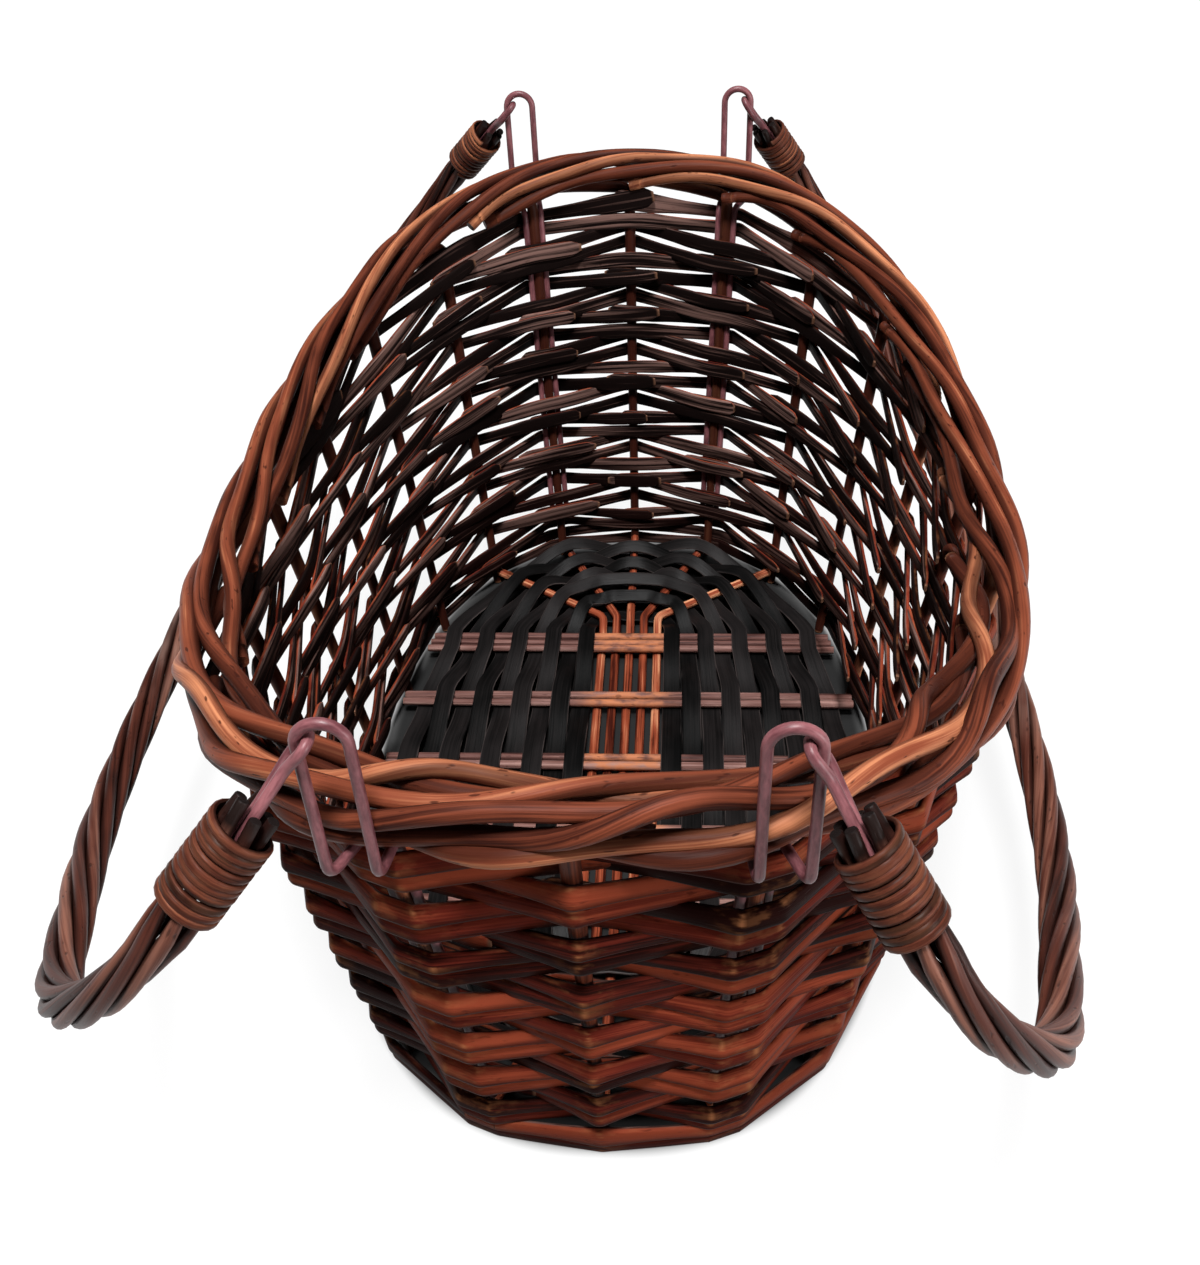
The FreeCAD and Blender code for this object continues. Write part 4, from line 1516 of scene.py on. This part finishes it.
@dataclass
class SwingHandle:
    """One handle of twisted rods, with its wire loops and cane bindings."""

    eyes: WireEyes
    side: str
    hand: int
    rest_deg: float
    seed: int
    length: float = 546.0
    reach: float = 220.0
    rod_radius: float = 1.8
    rod_gap: float = 0.5
    rods: int = 6
    lay: float = 225.0
    mouth_reach: float = 20.0
    mouth_offset: float = 9.0
    tip_overhang: float = 5.0
    shoulder_reach: float = 80.0
    knee_reach: float = 148.0
    knee_inset: float = 26.0
    crown_half: float = 110.0
    run_share: float = 0.45
    gather_length: float = 18.0
    grip_swell: float = 0.35
    closed_share: float = 0.5
    closing_length: float = 12.0
    crown_wear_sheen_half: float = 15.0
    crown_wear_sheen_fade: float = 50.0
    swell_length: float = 120.0
    loop_width: float = 6.8
    loop_straight: float = 9.5
    loop_depth: float = 22.0
    coated_radius: float = 1.6
    binding_length: float = 30.0
    cane_radius: float = 1.1
    cane_gap: float = 0.5
    path_spacing: float = 3.0
    rod_steps: int = 130
    overhang_spread: tuple[float, float] = (-2.0, 1.8)
    full_spread: tuple[float, float] = (0.98, 1.02)
    stain_length: float = 4.0
    rim_share: float = 0.08
    cut_share: float = 0.88
    rod_unevenness: float = 0.08
    wire_tone: float = 0.4
    turn_steps: int = 22
    slip: float = 0.16
    slip_rate: float = 1.7
    slip_start: float = 0.6
    cane_share: float = 0.54
    cane_wear: float = 0.2
    cane_unevenness: float = 0.2

    def __post_init__(self) -> None:
        """Work out the handle's plane and centre line."""
        rest = math.radians(self.rest_deg)
        self.reach_way = Vector((self.hand * math.cos(rest), 0.0, -math.sin(rest)))
        self.side_way = Vector((self.hand * math.sin(rest), 0.0, math.cos(rest)))
        corners = self.corners()
        radii = []
        for before, corner, after in zip(corners, corners[1:], corners[2:]):
            turn = (corner - before).angle(after - corner)
            room = self.run_share * min((corner - before).length, (after - corner).length)
            radii.append(room / math.tan(turn / 2))
        self.line = CentreLine(fillet_path(corners, radii, self.path_spacing))

    def place(self, y: float, reach: float) -> Vector:
        """Point of the handle's plane."""
        link = self.eyes.link
        return Vector((self.hand * link.x, y, link.z)) + self.reach_way * reach

    def corners(self) -> list[Vector]:
        """Corners of the outline, from the front end over the crown to the back end."""
        half_length = self.length / 2
        half = (
            (abs(self.eyes.link.y) + self.mouth_offset, self.mouth_reach),
            (half_length, self.shoulder_reach),
            (half_length - self.knee_inset, self.knee_reach),
            (self.crown_half, self.reach),
        )
        front = [self.place(-y, reach) for y, reach in half]
        back = [self.place(y, reach) for y, reach in half]
        return front + back[::-1]

    def round_point(self, distance: float, radius: float, turn: float) -> tuple[Vector, Vector]:
        """Point round the centre line.

        Args:
            distance: Distance along the centre line.
            radius: Distance from it.
            turn: Angle from the inside of the arch.

        Returns:
            The point and the direction out to it.
        """
        place, way = self.line.at(distance)
        inwards = self.side_way.cross(way) * self.hand
        arm = inwards * math.cos(turn) + self.side_way * math.sin(turn)
        return place + arm * radius, arm

    @property
    def leg_shift(self) -> float:
        """Distance of a loop's legs from the handle's centre line."""
        plan = self.eyes.plan
        return plan.wire_radius + plan.fit_gap / 4

    @property
    def mouth_ring(self) -> float:
        """Distance of the rods from the centre line at the bound ends."""
        plan = self.eyes.plan
        clear = self.leg_shift + plan.wire_radius + plan.fit_gap + self.rod_radius
        return max(clear, 2 * self.rod_radius + self.rod_gap)

    def rod_sizes(self, distance: float) -> tuple[float, float]:
        """Ring and rod radius at a distance: gathered at the ends, full in the grip."""
        from_end = min(distance, self.line.length - distance)
        bound = self.tip_overhang + self.binding_length
        gathered = ease((from_end - bound) / self.gather_length)
        full = ease((from_end - bound) / self.swell_length)
        ring = blend(self.mouth_ring, 2 * self.rod_radius + self.rod_gap, gathered)
        ring += 2 * self.grip_swell * full
        closed = ease((from_end - bound) / self.closing_length)
        return ring, blend(self.rod_radius, ring * self.closed_share, closed)

    def rod_strands(self, dice: random.Random) -> list[Strand]:
        """Rods that are twisted into the handle."""
        strands = []
        for rod in range(self.rods):
            points = []
            overhang = dice.uniform(*self.overhang_spread)
            full = dice.uniform(*self.full_spread)
            for step in range(self.rod_steps + 1):
                distance = blend(-overhang, self.line.length + overhang, step / self.rod_steps)
                ring, radius = self.rod_sizes(distance)
                turn = 2 * math.pi * (rod / self.rods + distance / self.lay)
                place, arm = self.round_point(distance, ring, turn)
                from_end = min(distance, self.line.length - distance)
                stain = 1 - ease((from_end - self.tip_overhang) / self.stain_length)
                # Crown of the handle: worn varnish with a painted sheen
                off_crown = abs(distance - self.line.length / 2)
                crown_wear_sheen = 1 - ease((off_crown - self.crown_wear_sheen_half) / self.crown_wear_sheen_fade)
                points.append(StrandPoint(place, radius * full, radius * full, arm, stain, crown_wear_sheen=crown_wear_sheen))
            for end, inner in ((0, 1), (-1, -2)):
                points[end].tip = 1.0
                rim = points[end].place.lerp(points[inner].place, self.rim_share)
                size = points[end].thick
                points[end].thick = points[end].wide = self.cut_share * size
                neck = StrandPoint(rim, size, size, points[end].face, 1.0)
                points.insert(1 if end == 0 else len(points) - 1, neck)
            strands.append(Strand(points, dice.random()))
        return strands

    def loop_path(self) -> list[Vector]:
        """Wire loop of the front end: a pin through the eye and two legs into the binding."""
        link = self.eyes.link
        mouth, way = self.line.at(0.0)
        inwards = self.side_way.cross(way) * self.hand
        legs = []
        for end in (1, -1):
            leg_mouth = mouth + inwards * (end * self.leg_shift)
            y = link.y + end * self.loop_width / 2
            legs.append([leg_mouth + way * self.loop_depth, leg_mouth,
                         self.place(y, self.loop_straight), self.place(y, 0.0)])
        wire = 2 * self.eyes.plan.wire_radius
        radii = (4 * wire, 2 * wire, wire, wire, 2 * wire, 4 * wire)
        return fillet_path(legs[0] + legs[1][::-1], radii, self.path_spacing)

    def binding_strand(self, dice: random.Random) -> Strand:
        """Cane wound round the front end."""
        pitch = 2 * self.cane_radius + self.cane_gap
        turns = int((self.binding_length - 2 * self.cane_radius) / pitch)
        plan = self.eyes.plan
        ring = self.mouth_ring + self.rod_radius + plan.fit_gap + self.cane_radius
        start = self.tip_overhang + self.cane_radius
        steps = turns * self.turn_steps
        points = []
        for step in range(steps + 1):
            turn = turns * step / steps
            slip = self.slip * math.sin(self.slip_rate * turn + self.slip_start)
            slip *= ease(min(turn, turns - turn))
            place, arm = self.round_point(start + (turn + slip) * pitch, ring, 2 * math.pi * turn)
            half = pitch * self.cane_share
            points.append(StrandPoint(place, self.cane_radius, half, arm, self.cane_wear))
        points[0].tip = points[-1].tip = 1.0
        return Strand(points, dice.random())

    def build(self, shop: Workshop) -> None:
        """Make and seat the rods, loops and bindings."""
        dice = random.Random(self.seed)
        body = f"{self.side}_handle"
        rods = shop.make(
            f"{body}_twist", self.rod_strands(dice), Section.ROD, "handle_willow", self.rod_unevenness)
        shop.seat(rods, body, "handle_willow", f"{body}_rods")
        loop = self.loop_path()
        cane = self.binding_strand(dice)
        for end, name in ((1, "front"), (-1, "back")):
            flip = Matrix.Diagonal((1.0, float(end), 1.0))
            points = [flip @ place for place in loop]
            wire = round_strand(points, lambda share: self.coated_radius, self.wire_tone, False)
            piece = shop.make(
                f"{self.side}_{name}_loop_wire", [wire], Section.WIRE, "coated_wire", WIRE_UNEVENNESS)
            shop.seat(piece, body, "coated_wire", f"{self.side}_{name}_loop")
            wound = [
                replace(point, place=flip @ point.place, face=flip @ point.face) for point in cane.points
            ]
            piece = shop.make(
                f"{self.side}_{name}_binding_cane", [Strand(wound, dice.random())], Section.CANE,
                "binding_cane", self.cane_unevenness)
            shop.seat(piece, body, "binding_cane", f"{self.side}_{name}_binding")


# Finishes


@dataclass(frozen=True)
class Pattern:
    """Noise of a finish: waves for each metre through, across and along a strand, octaves and shift."""

    waves: tuple[float, float, float]
    octaves: float = 2.0
    shift: float = 0.0


class FinishBench(TreeBench):
    """Shader tree of one finish, with the patterns that the finishes share."""

    SHIFT_WAY = (1.0, 1.7, 0.6)
    NOISE_ROUGHNESS = 0.55
    BUMP_STRENGTH = 0.6

    def __init__(self, name: str) -> None:
        """Start an empty material."""
        self.material = bpy.data.materials.new(name)
        self.material.use_nodes = True
        super().__init__(self.material.node_tree)
        self.tree.nodes.clear()

    def vector_attribute(self, name: str) -> bpy.types.NodeSocket:
        """Vector attribute of the surface."""
        return self.node("ShaderNodeAttribute", {"attribute_name": name}).outputs["Vector"]

    def number_attribute(self, name: str) -> Quantity:
        """Number attribute of the surface."""
        return self.value(self.node("ShaderNodeAttribute", {"attribute_name": name}).outputs["Fac"])

    def parts(self, vector: bpy.types.NodeSocket) -> tuple[Quantity, Quantity, Quantity]:
        """Three numbers of a vector."""
        made = self.node("ShaderNodeSeparateXYZ", None, {0: vector})
        return tuple(self.value(made.outputs[axis]) for axis in range(3))

    def noise(self, vector: bpy.types.NodeSocket, pattern: Pattern) -> Quantity:
        """Noise stretched along one direction.

        Args:
            vector: Coordinates in metres.
            pattern: Waves, octaves and the shift that makes one noise differ from another.

        Returns:
            The noise, about 0.5 on average.
        """
        shift = tuple(pattern.shift * way for way in self.SHIFT_WAY)
        mapped = self.node("ShaderNodeMapping", None, {
            "Vector": vector, "Scale": pattern.waves, "Location": shift})
        made = self.node("ShaderNodeTexNoise", None, {
            "Vector": mapped.outputs[0], "Scale": 1.0, "Detail": pattern.octaves,
            "Roughness": self.NOISE_ROUGHNESS})
        return self.value(made.outputs[0])

    def inward(self) -> tuple[Quantity, Quantity]:
        """How far a face looks towards the middle of the basket, and its height in metres."""
        place = self.node("ShaderNodeNewGeometry")
        level = self.node("ShaderNodeVectorMath", {"operation": "MULTIPLY"}, {
            0: place.outputs["Position"], 1: (1.0, 1.0, 0.0)})
        away = self.node("ShaderNodeVectorMath", {"operation": "NORMALIZE"}, {0: level.outputs[0]})
        facing = self.node("ShaderNodeVectorMath", {"operation": "DOT_PRODUCT"}, {
            0: away.outputs[0], 1: place.outputs["Normal"]})
        height = self.parts(place.outputs["Position"])[2]
        return 0.0 - self.value(facing.outputs["Value"]), height

    def mix(self, factor: Any, first: Any, second: Any) -> bpy.types.NodeSocket:
        """Mix two colours.

        Args:
            factor: Share of the second colour.
            first: First colour.
            second: Second colour.

        Returns:
            The mixed colour's socket.
        """
        made = self.node("ShaderNodeMix", {"data_type": "RGBA"})
        self.feed(made.inputs[0], factor)
        self.feed(made.inputs[6], first)
        self.feed(made.inputs[7], second)
        return made.outputs[2]

    def finish(self, colour: Any, roughness: Any, height: Quantity, depth: float,
               **constants: float) -> bpy.types.Material:
        """Close the tree with one principled surface.

        Args:
            colour: Base colour.
            roughness: Roughness.
            height: Height of the relief, from 0 to 1.
            depth: Depth of the relief in metres.
            constants: Plain values of other sockets, with underscores for spaces.

        Returns:
            The material.
        """
        bump = self.node("ShaderNodeBump", None, {
            "Strength": self.BUMP_STRENGTH, "Distance": depth, "Height": height})
        surface = self.node("ShaderNodeBsdfPrincipled", None, {
            "Base Color": colour, "Roughness": roughness, "Normal": bump.outputs[0]})
        for name, value in constants.items():
            surface.inputs[name.replace("_", " ")].default_value = value
        self.node("ShaderNodeOutputMaterial", None, {"Surface": surface.outputs[0]})
        return self.material


@dataclass(frozen=True)
class WillowFinish:
    """Stained willow: long fibres, slow shade changes, dark flecks, worn places and cut ends, with painted
    shade under splits, in grooves, inside and near the foot, and a painted sheen on the crown.
    """

    slot: str
    dark: Colour
    middle: Colour
    light: Colour
    worn: Colour
    cut: Colour
    inner: Colour = shade(22, 15, 14)
    inner_light: Colour = shade(128, 98, 90)
    # Painted shade, with some dirt, on each split's lower side
    underside_shade_and_dirt: Colour = shade(20, 8, 6)
    # Pale worn varnish with a painted sheen, for the handles' crown
    crown_wear_sheen_colour: Colour = shade(132, 110, 101)
    inner_share: float = 0.0
    edge_share: float = 0.0
    fleck_share: float = 0.6
    wear_share: float = 0.0
    wear_steps: tuple[float, float] = (0.3, 0.62)
    tone_spread: float = 0.2
    contrast: float = 1.7
    # Share of painted shade, with some dirt, on each split's lower side
    underside_shade_share: float = 0.0
    # Share of painted shade on faces that look into the basket
    inside_shade_share: float = 0.0
    # Share of painted shade near the foot
    foot_share: float = 0.0
    # Share of worn varnish with a painted sheen on the crown
    crown_wear_sheen_share: float = 0.0
    # Share of painted shade in the grooves between rods
    groove_shade_share: float = 0.0
    roughness: float = 0.42
    specular: float = 0.05
    relief_depth: float = 0.0006

    FIBRE = Pattern((1500.0, 1500.0, 22.0), 3.0)
    STREAK = Pattern((420.0, 420.0, 13.0), 2.0, 3.1)
    MOTTLE = Pattern((90.0, 90.0, 26.0), 2.0, 7.7)
    RUB = Pattern((260.0, 260.0, 120.0), 3.0, 1.9)
    FLECK = Pattern((620.0, 620.0, 190.0), 1.0, 5.3)

    # Values at which each shade or mark starts and is full
    MIDDLE_STEPS = (0.3, 0.52)
    LIGHT_STEPS = (0.5, 0.74)
    EDGE_STEPS = (0.72, 1.0)
    UNDERSIDE_SHADE_STEPS = (-0.1, 1.0)
    BACK_AND_EDGE_SHADE_STEPS = (-0.42, -0.05)
    INNER_STEPS = (0.46, 0.98)
    CROWN_WEAR_SHEEN_STEPS = (0.34, 0.6)
    GROOVE_SHADE_STEPS = (0.3, 0.95)
    INSIDE_SHADE_STEPS = (0.1, 0.8)
    FLECK_STEPS = (0.66, 0.76)
    CUT_STEPS = (0.6, 0.95)
    FOOT_SHADE_HEIGHT = 0.1

    def build(self) -> bpy.types.Material:
        """Make the material.

        Returns:
            The material, named for its slot.
        """
        bench = FinishBench(self.slot)
        grain = bench.vector_attribute("grain")
        out, across, tone = bench.parts(bench.vector_attribute("skin"))
        fibre = bench.noise(grain, self.FIBRE)
        streak = bench.noise(grain, self.STREAK)
        mottle = bench.noise(grain, self.MOTTLE)
        grey = fibre * 0.3 + streak * 0.4 + mottle * 0.3
        depth = (grey - 0.5) * self.contrast + 0.5 + (tone - 0.5) * self.tone_spread
        colour = bench.mix(depth.step(*self.MIDDLE_STEPS), self.dark, self.middle)
        colour = bench.mix(depth.step(*self.LIGHT_STEPS), colour, self.light)
        wear = bench.number_attribute("wear")
        rub = bench.noise(grain, self.RUB)
        edge = abs(across).step(*self.EDGE_STEPS) * self.edge_share
        worn = (wear + edge) * rub.step(*self.wear_steps) * self.wear_share
        colour = bench.mix(worn.lower(1.0), colour, self.worn)
        # Painted shade, with some dirt: each split darker towards its lower side
        colour = bench.mix(across.step(*self.UNDERSIDE_SHADE_STEPS) * self.underside_shade_share, colour, self.underside_shade_and_dirt)
        # The open back of a split takes the inner colour, and the mask reaches onto the rounded edges of
        # the outer face as painted shade
        behind = (0.0 - out).step(*self.BACK_AND_EDGE_SHADE_STEPS) * self.inner_share
        ridge = (fibre * 0.35 + streak * 0.65 - 0.5) * 2.6 + 0.5 + (tone - 0.5) * 0.5
        inner = bench.mix(ridge.step(*self.INNER_STEPS), self.inner, self.inner_light)
        colour = bench.mix(behind, colour, inner)
        # Pale worn varnish with a painted sheen, in patches on the handles' crown
        crown_wear_sheen = bench.number_attribute("crown_wear_sheen") * mottle.step(*self.CROWN_WEAR_SHEEN_STEPS)
        colour = bench.mix(crown_wear_sheen * self.crown_wear_sheen_share, colour, self.crown_wear_sheen_colour)
        # Painted shade on the side of each rod that faces the middle of its bundle, between neighbouring
        # rods
        groove_shade = (1.0 - out).step(*self.GROOVE_SHADE_STEPS) * self.groove_shade_share
        colour = bench.mix(groove_shade, colour, self.dark)
        # Painted shade on faces that look into the basket
        inside_shade, height = bench.inward()
        colour = bench.mix(inside_shade.step(*self.INSIDE_SHADE_STEPS) * self.inside_shade_share, colour, self.dark)
        # Painted shade: darker towards the foot, below a tenth of a metre
        low = (self.FOOT_SHADE_HEIGHT - height).step(0.0, self.FOOT_SHADE_HEIGHT)
        colour = bench.mix(low * self.foot_share, colour, self.dark)
        fleck = bench.noise(grain, self.FLECK).step(*self.FLECK_STEPS)
        colour = bench.mix(fleck * self.fleck_share, colour, self.dark)
        cut = bench.number_attribute("tip").step(*self.CUT_STEPS)
        colour = bench.mix(cut, colour, self.cut)
        rough = streak * 0.16 + (self.roughness - 0.08) + cut * 0.2
        relief = fibre * 0.5 + streak * 0.35 + mottle * 0.15 - fleck * 0.3
        return bench.finish(colour, rough, relief, self.relief_depth, Specular_IOR_Level=self.specular)


@dataclass(frozen=True)
class RibbonFinish:
    """Nearly black flat ribbon with fine lengthwise fibres and a soft sheen."""

    slot: str
    dark: Colour
    light: Colour
    bare: Colour
    bare_share: float = 0.55
    roughness: float = 0.32
    specular: float = 0.08
    relief_depth: float = 0.0004

    FIBRE = Pattern((900.0, 1700.0, 14.0), 3.0)
    CLOUD = Pattern((60.0, 110.0, 32.0), 2.0, 4.4)

    # Values at which each shade or mark starts and is full
    LIGHT_STEPS = (0.36, 0.72)
    EDGE_STEPS = (0.86, 1.0)
    CLOUD_STEPS = (0.42, 0.6)

    def build(self) -> bpy.types.Material:
        """Make the material.

        Returns:
            The material, named for its slot.
        """
        bench = FinishBench(self.slot)
        grain = bench.vector_attribute("grain")
        _, across, tone = bench.parts(bench.vector_attribute("skin"))
        fibre = bench.noise(grain, self.FIBRE)
        cloud = bench.noise(grain, self.CLOUD)
        depth = fibre * 0.45 + cloud * 0.4 + tone * 0.2
        colour = bench.mix(depth.step(*self.LIGHT_STEPS), self.dark, self.light)
        edge = abs(across).step(*self.EDGE_STEPS) * cloud.step(*self.CLOUD_STEPS)
        colour = bench.mix(edge * self.bare_share, colour, self.bare)
        rough = fibre * 0.2 + self.roughness
        relief = fibre * 0.7 + cloud * 0.3
        return bench.finish(colour, rough, relief, self.relief_depth, Specular_IOR_Level=self.specular)


@dataclass(frozen=True)
class WireFinish:
    """Wire with a dull plastic coat, a little scuffed."""

    slot: str
    dark: Colour
    light: Colour
    roughness: float = 0.3
    specular: float = 0.3
    relief_depth: float = 0.00012

    CLOUD = Pattern((300.0, 300.0, 90.0))
    SCUFF = Pattern((1600.0, 1600.0, 500.0), 3.0, 2.6)
    LIGHT_STEPS = (0.3, 0.7)

    def build(self) -> bpy.types.Material:
        """Make the material.

        Returns:
            The material, named for its slot.
        """
        bench = FinishBench(self.slot)
        grain = bench.vector_attribute("grain")
        cloud = bench.noise(grain, self.CLOUD)
        scuff = bench.noise(grain, self.SCUFF)
        depth = cloud * 0.7 + scuff * 0.3
        colour = bench.mix(depth.step(*self.LIGHT_STEPS), self.dark, self.light)
        rough = scuff * 0.2 + self.roughness
        relief = scuff * 0.6 + cloud * 0.4
        return bench.finish(colour, rough, relief, self.relief_depth, Specular_IOR_Level=self.specular)


FINISHES = (
    WillowFinish(
        "stake_willow", shade(50, 22, 16), shade(118, 60, 41), shade(190, 124, 88), shade(206, 150, 108),
        shade(110, 74, 54), fleck_share=0.8, contrast=1.0, tone_spread=0.3, inside_shade_share=0.6,
        groove_shade_share=0.75),
    WillowFinish(
        "split_willow", shade(34, 11, 8), shade(100, 36, 26), shade(152, 69, 46), shade(206, 134, 88),
        shade(116, 82, 64), inner_share=1.0, wear_share=0.6, wear_steps=(0.46, 0.66), edge_share=0.2,
        contrast=1.1, tone_spread=0.6, underside_shade_share=0.9, fleck_share=0.4, foot_share=0.45, roughness=0.5,
        specular=0.02),
    WillowFinish(
        "base_stick", shade(54, 19, 13), shade(136, 64, 42), shade(214, 150, 112), shade(206, 150, 108),
        shade(130, 92, 70), fleck_share=0.5),
    WillowFinish(
        "cross_stick", shade(62, 38, 35), shade(106, 73, 67), shade(150, 116, 108), shade(178, 112, 78),
        shade(120, 88, 76), wear_share=1.0, fleck_share=0.5),
    WillowFinish(
        "handle_willow", shade(28, 12, 9), shade(74, 37, 28), shade(128, 84, 69), shade(25, 16, 14),
        shade(18, 12, 11), wear_share=1.0, wear_steps=(0.0, 0.2), contrast=1.0, tone_spread=0.25,
        crown_wear_sheen_share=0.4, groove_shade_share=0.85, specular=0.12),
    WillowFinish(
        "binding_cane", shade(32, 14, 11), shade(78, 38, 28), shade(152, 94, 66), shade(170, 116, 84),
        shade(80, 52, 40), wear_share=0.4, fleck_share=0.35, groove_shade_share=0.85, roughness=0.36),
    RibbonFinish("base_ribbon", shade(7, 7, 7), shade(30, 27, 27), shade(92, 82, 80)),
    WireFinish("coated_wire", shade(84, 45, 50), shade(138, 86, 90)),
)


# Studio


@dataclass(frozen=True)
class Lamp:
    """One soft lamp: place and aim in metres, size in metres, power in watts."""

    name: str
    place: tuple[float, float, float]
    aim: tuple[float, float, float]
    size: float
    power: float


@dataclass
class Studio:
    """White floor, soft light and the camera."""

    plan: WallPlan
    camera_mm: tuple[float, float, float] = (31.03, -466.36, 477.18)
    yaw: float = -0.084
    pitch: float = 0.687
    roll: float = -0.049
    focal_px: float = 1300.0
    image_height_px: float = 1265.0
    sensor_mm: float = 36.0
    clip_start: float = 0.01
    floor_radius: float = 6.0
    floor_sides: int = 96
    floor_glow: float = 0.88
    far_glow: float = 0.14
    floor_shade: float = 0.14
    # Dark floor colour painted as shadow under the basket's foot
    foot_painted_shadow: float = 0.02
    foot_half_oval: tuple[float, float] = (0.125, 0.200)
    glow_edge: tuple[float, float] = (1.0, 1.045)
    # Edge of the painted shadow, in shares of the foot's oval
    painted_shadow_edge: tuple[float, float] = (0.96, 1.045)
    far_edge: tuple[float, float] = (2.5, 9.0)
    lamps: tuple[Lamp, ...] = (
        Lamp("key", (0.0, -0.68, 1.88), (0.0, -0.05, 0.1), 0.4, 48.0),
        Lamp("top", (0.0, 0.15, 1.9), (0.0, 0.0, 0.1), 0.9, 16.0),
        Lamp("side", (1.3, -0.9, 0.32), (0.0, 0.0, 0.12), 0.6, 14.0),
    )
    ambient: float = 0.05

    def camera(self) -> None:
        """Stand the camera where the photograph was taken."""
        forward = Vector((
            math.sin(self.yaw) * math.cos(self.pitch), math.cos(self.yaw) * math.cos(self.pitch),
            -math.sin(self.pitch)))
        right = Vector((math.cos(self.yaw), -math.sin(self.yaw), 0.0))
        up = right.cross(forward)
        across = right * math.cos(self.roll) + up * math.sin(self.roll)
        upward = up * math.cos(self.roll) - right * math.sin(self.roll)
        data = bpy.data.cameras.new("camera")
        data.sensor_fit = "AUTO"
        data.sensor_width = self.sensor_mm
        data.lens = self.focal_px * self.sensor_mm / self.image_height_px
        data.clip_start = self.clip_start
        camera = bpy.data.objects.new("camera", data)
        turn = Matrix((across, upward, -forward)).transposed().to_4x4()
        camera.matrix_world = Matrix.Translation(Vector(self.camera_mm) * MM) @ turn
        bpy.context.scene.collection.objects.link(camera)
        bpy.context.scene.camera = camera

    def floor(self) -> None:
        """Lay a round white floor, with a dark colour painted as shadow under the basket's foot."""
        work = bmesh.new()
        bmesh.ops.create_circle(work, cap_ends=True, segments=self.floor_sides, radius=self.floor_radius)
        mesh = bpy.data.meshes.new("floor")
        work.to_mesh(mesh)
        work.free()
        bench = FinishBench("floor_white")
        path = bench.node("ShaderNodeLightPath")
        seen = bench.value(path.outputs["Is Camera Ray"])
        seen = seen.higher(bench.value(path.outputs["Is Glossy Ray"]))
        seen = seen.higher(bench.value(path.outputs["Is Transmission Ray"]))
        place = bench.node("ShaderNodeTexCoord").outputs["Object"]
        across, along, _ = bench.parts(place)
        power = self.plan.oval_power
        half_across, half_along = self.foot_half_oval
        sides = abs(across * (1 / half_across)) ** power
        ends = abs(along * (1 / half_along)) ** power
        distance = (sides + ends) ** (1 / power)
        near_glow = distance.step(*self.glow_edge) * self.floor_glow
        open_floor = near_glow + distance.step(*self.far_edge) * self.far_glow
        # Painted shadow: the floor's colour is nearly black inside the foot's oval
        floor_with_painted_shadow = bench.mix(distance.step(*self.painted_shadow_edge), (self.foot_painted_shadow,) * 3, (self.floor_shade,) * 3)
        matt = bench.node("ShaderNodeBsdfDiffuse", None, {"Color": floor_with_painted_shadow})
        lit = bench.mix(seen * open_floor, (0.0, 0.0, 0.0), (1.0, 1.0, 1.0))
        glow = bench.node("ShaderNodeEmission", None, {"Color": lit, "Strength": 1.0})
        both = bench.node("ShaderNodeAddShader", None, {0: matt.outputs[0], 1: glow.outputs[0]})
        bench.node("ShaderNodeOutputMaterial", None, {"Surface": both.outputs[0]})
        mesh.materials.append(bench.material)
        floor = bpy.data.objects.new("floor", mesh)
        bpy.context.scene.collection.objects.link(floor)

    def light(self) -> None:
        """Set up the lamps and the even light around."""
        for lamp in self.lamps:
            data = bpy.data.lights.new(lamp.name, "AREA")
            data.shape = "DISK"
            data.size = lamp.size
            data.energy = lamp.power
            item = bpy.data.objects.new(lamp.name, data)
            item.location = lamp.place
            way = Vector(lamp.aim) - Vector(lamp.place)
            item.rotation_euler = way.to_track_quat("-Z", "Y").to_euler()
            bpy.context.scene.collection.objects.link(item)
        world = bpy.data.worlds.new("studio")
        world.use_nodes = True
        bench = TreeBench(world.node_tree)
        world.node_tree.nodes.clear()
        path = bench.node("ShaderNodeLightPath")
        seen = bench.value(path.outputs["Is Camera Ray"]) * (1.0 - self.ambient) + self.ambient
        sky = bench.node("ShaderNodeBackground", None, {"Color": (1.0, 1.0, 1.0), "Strength": seen})
        bench.node("ShaderNodeOutputWorld", None, {"Surface": sky.outputs[0]})
        bpy.context.scene.world = world

    def build(self) -> None:
        """Set up the whole studio."""
        bpy.context.scene.view_settings.view_transform = "Standard"
        self.camera()
        self.floor()
        self.light()


def main() -> None:
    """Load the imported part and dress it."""
    logging.basicConfig(level=logging.INFO, format="%(name)s: %(message)s")
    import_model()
    plan = WallPlan()
    shop = Workshop(SweepTree(), {finish.slot: finish.build() for finish in FINISHES})
    StakeRing(plan).build(shop)
    WovenWall(plan).build(shop)
    BasketBase(plan).build(shop)
    eyes = WireEyes(plan)
    eyes.build(shop)
    SwingHandle(eyes, "right", 1, 57.0, 51).build(shop)
    SwingHandle(eyes, "left", -1, 48.5, 52).build(shop)
    Studio(plan).build()
    LOG.info("%d pieces", shop.count)


if __name__ == "__main__":
    main()
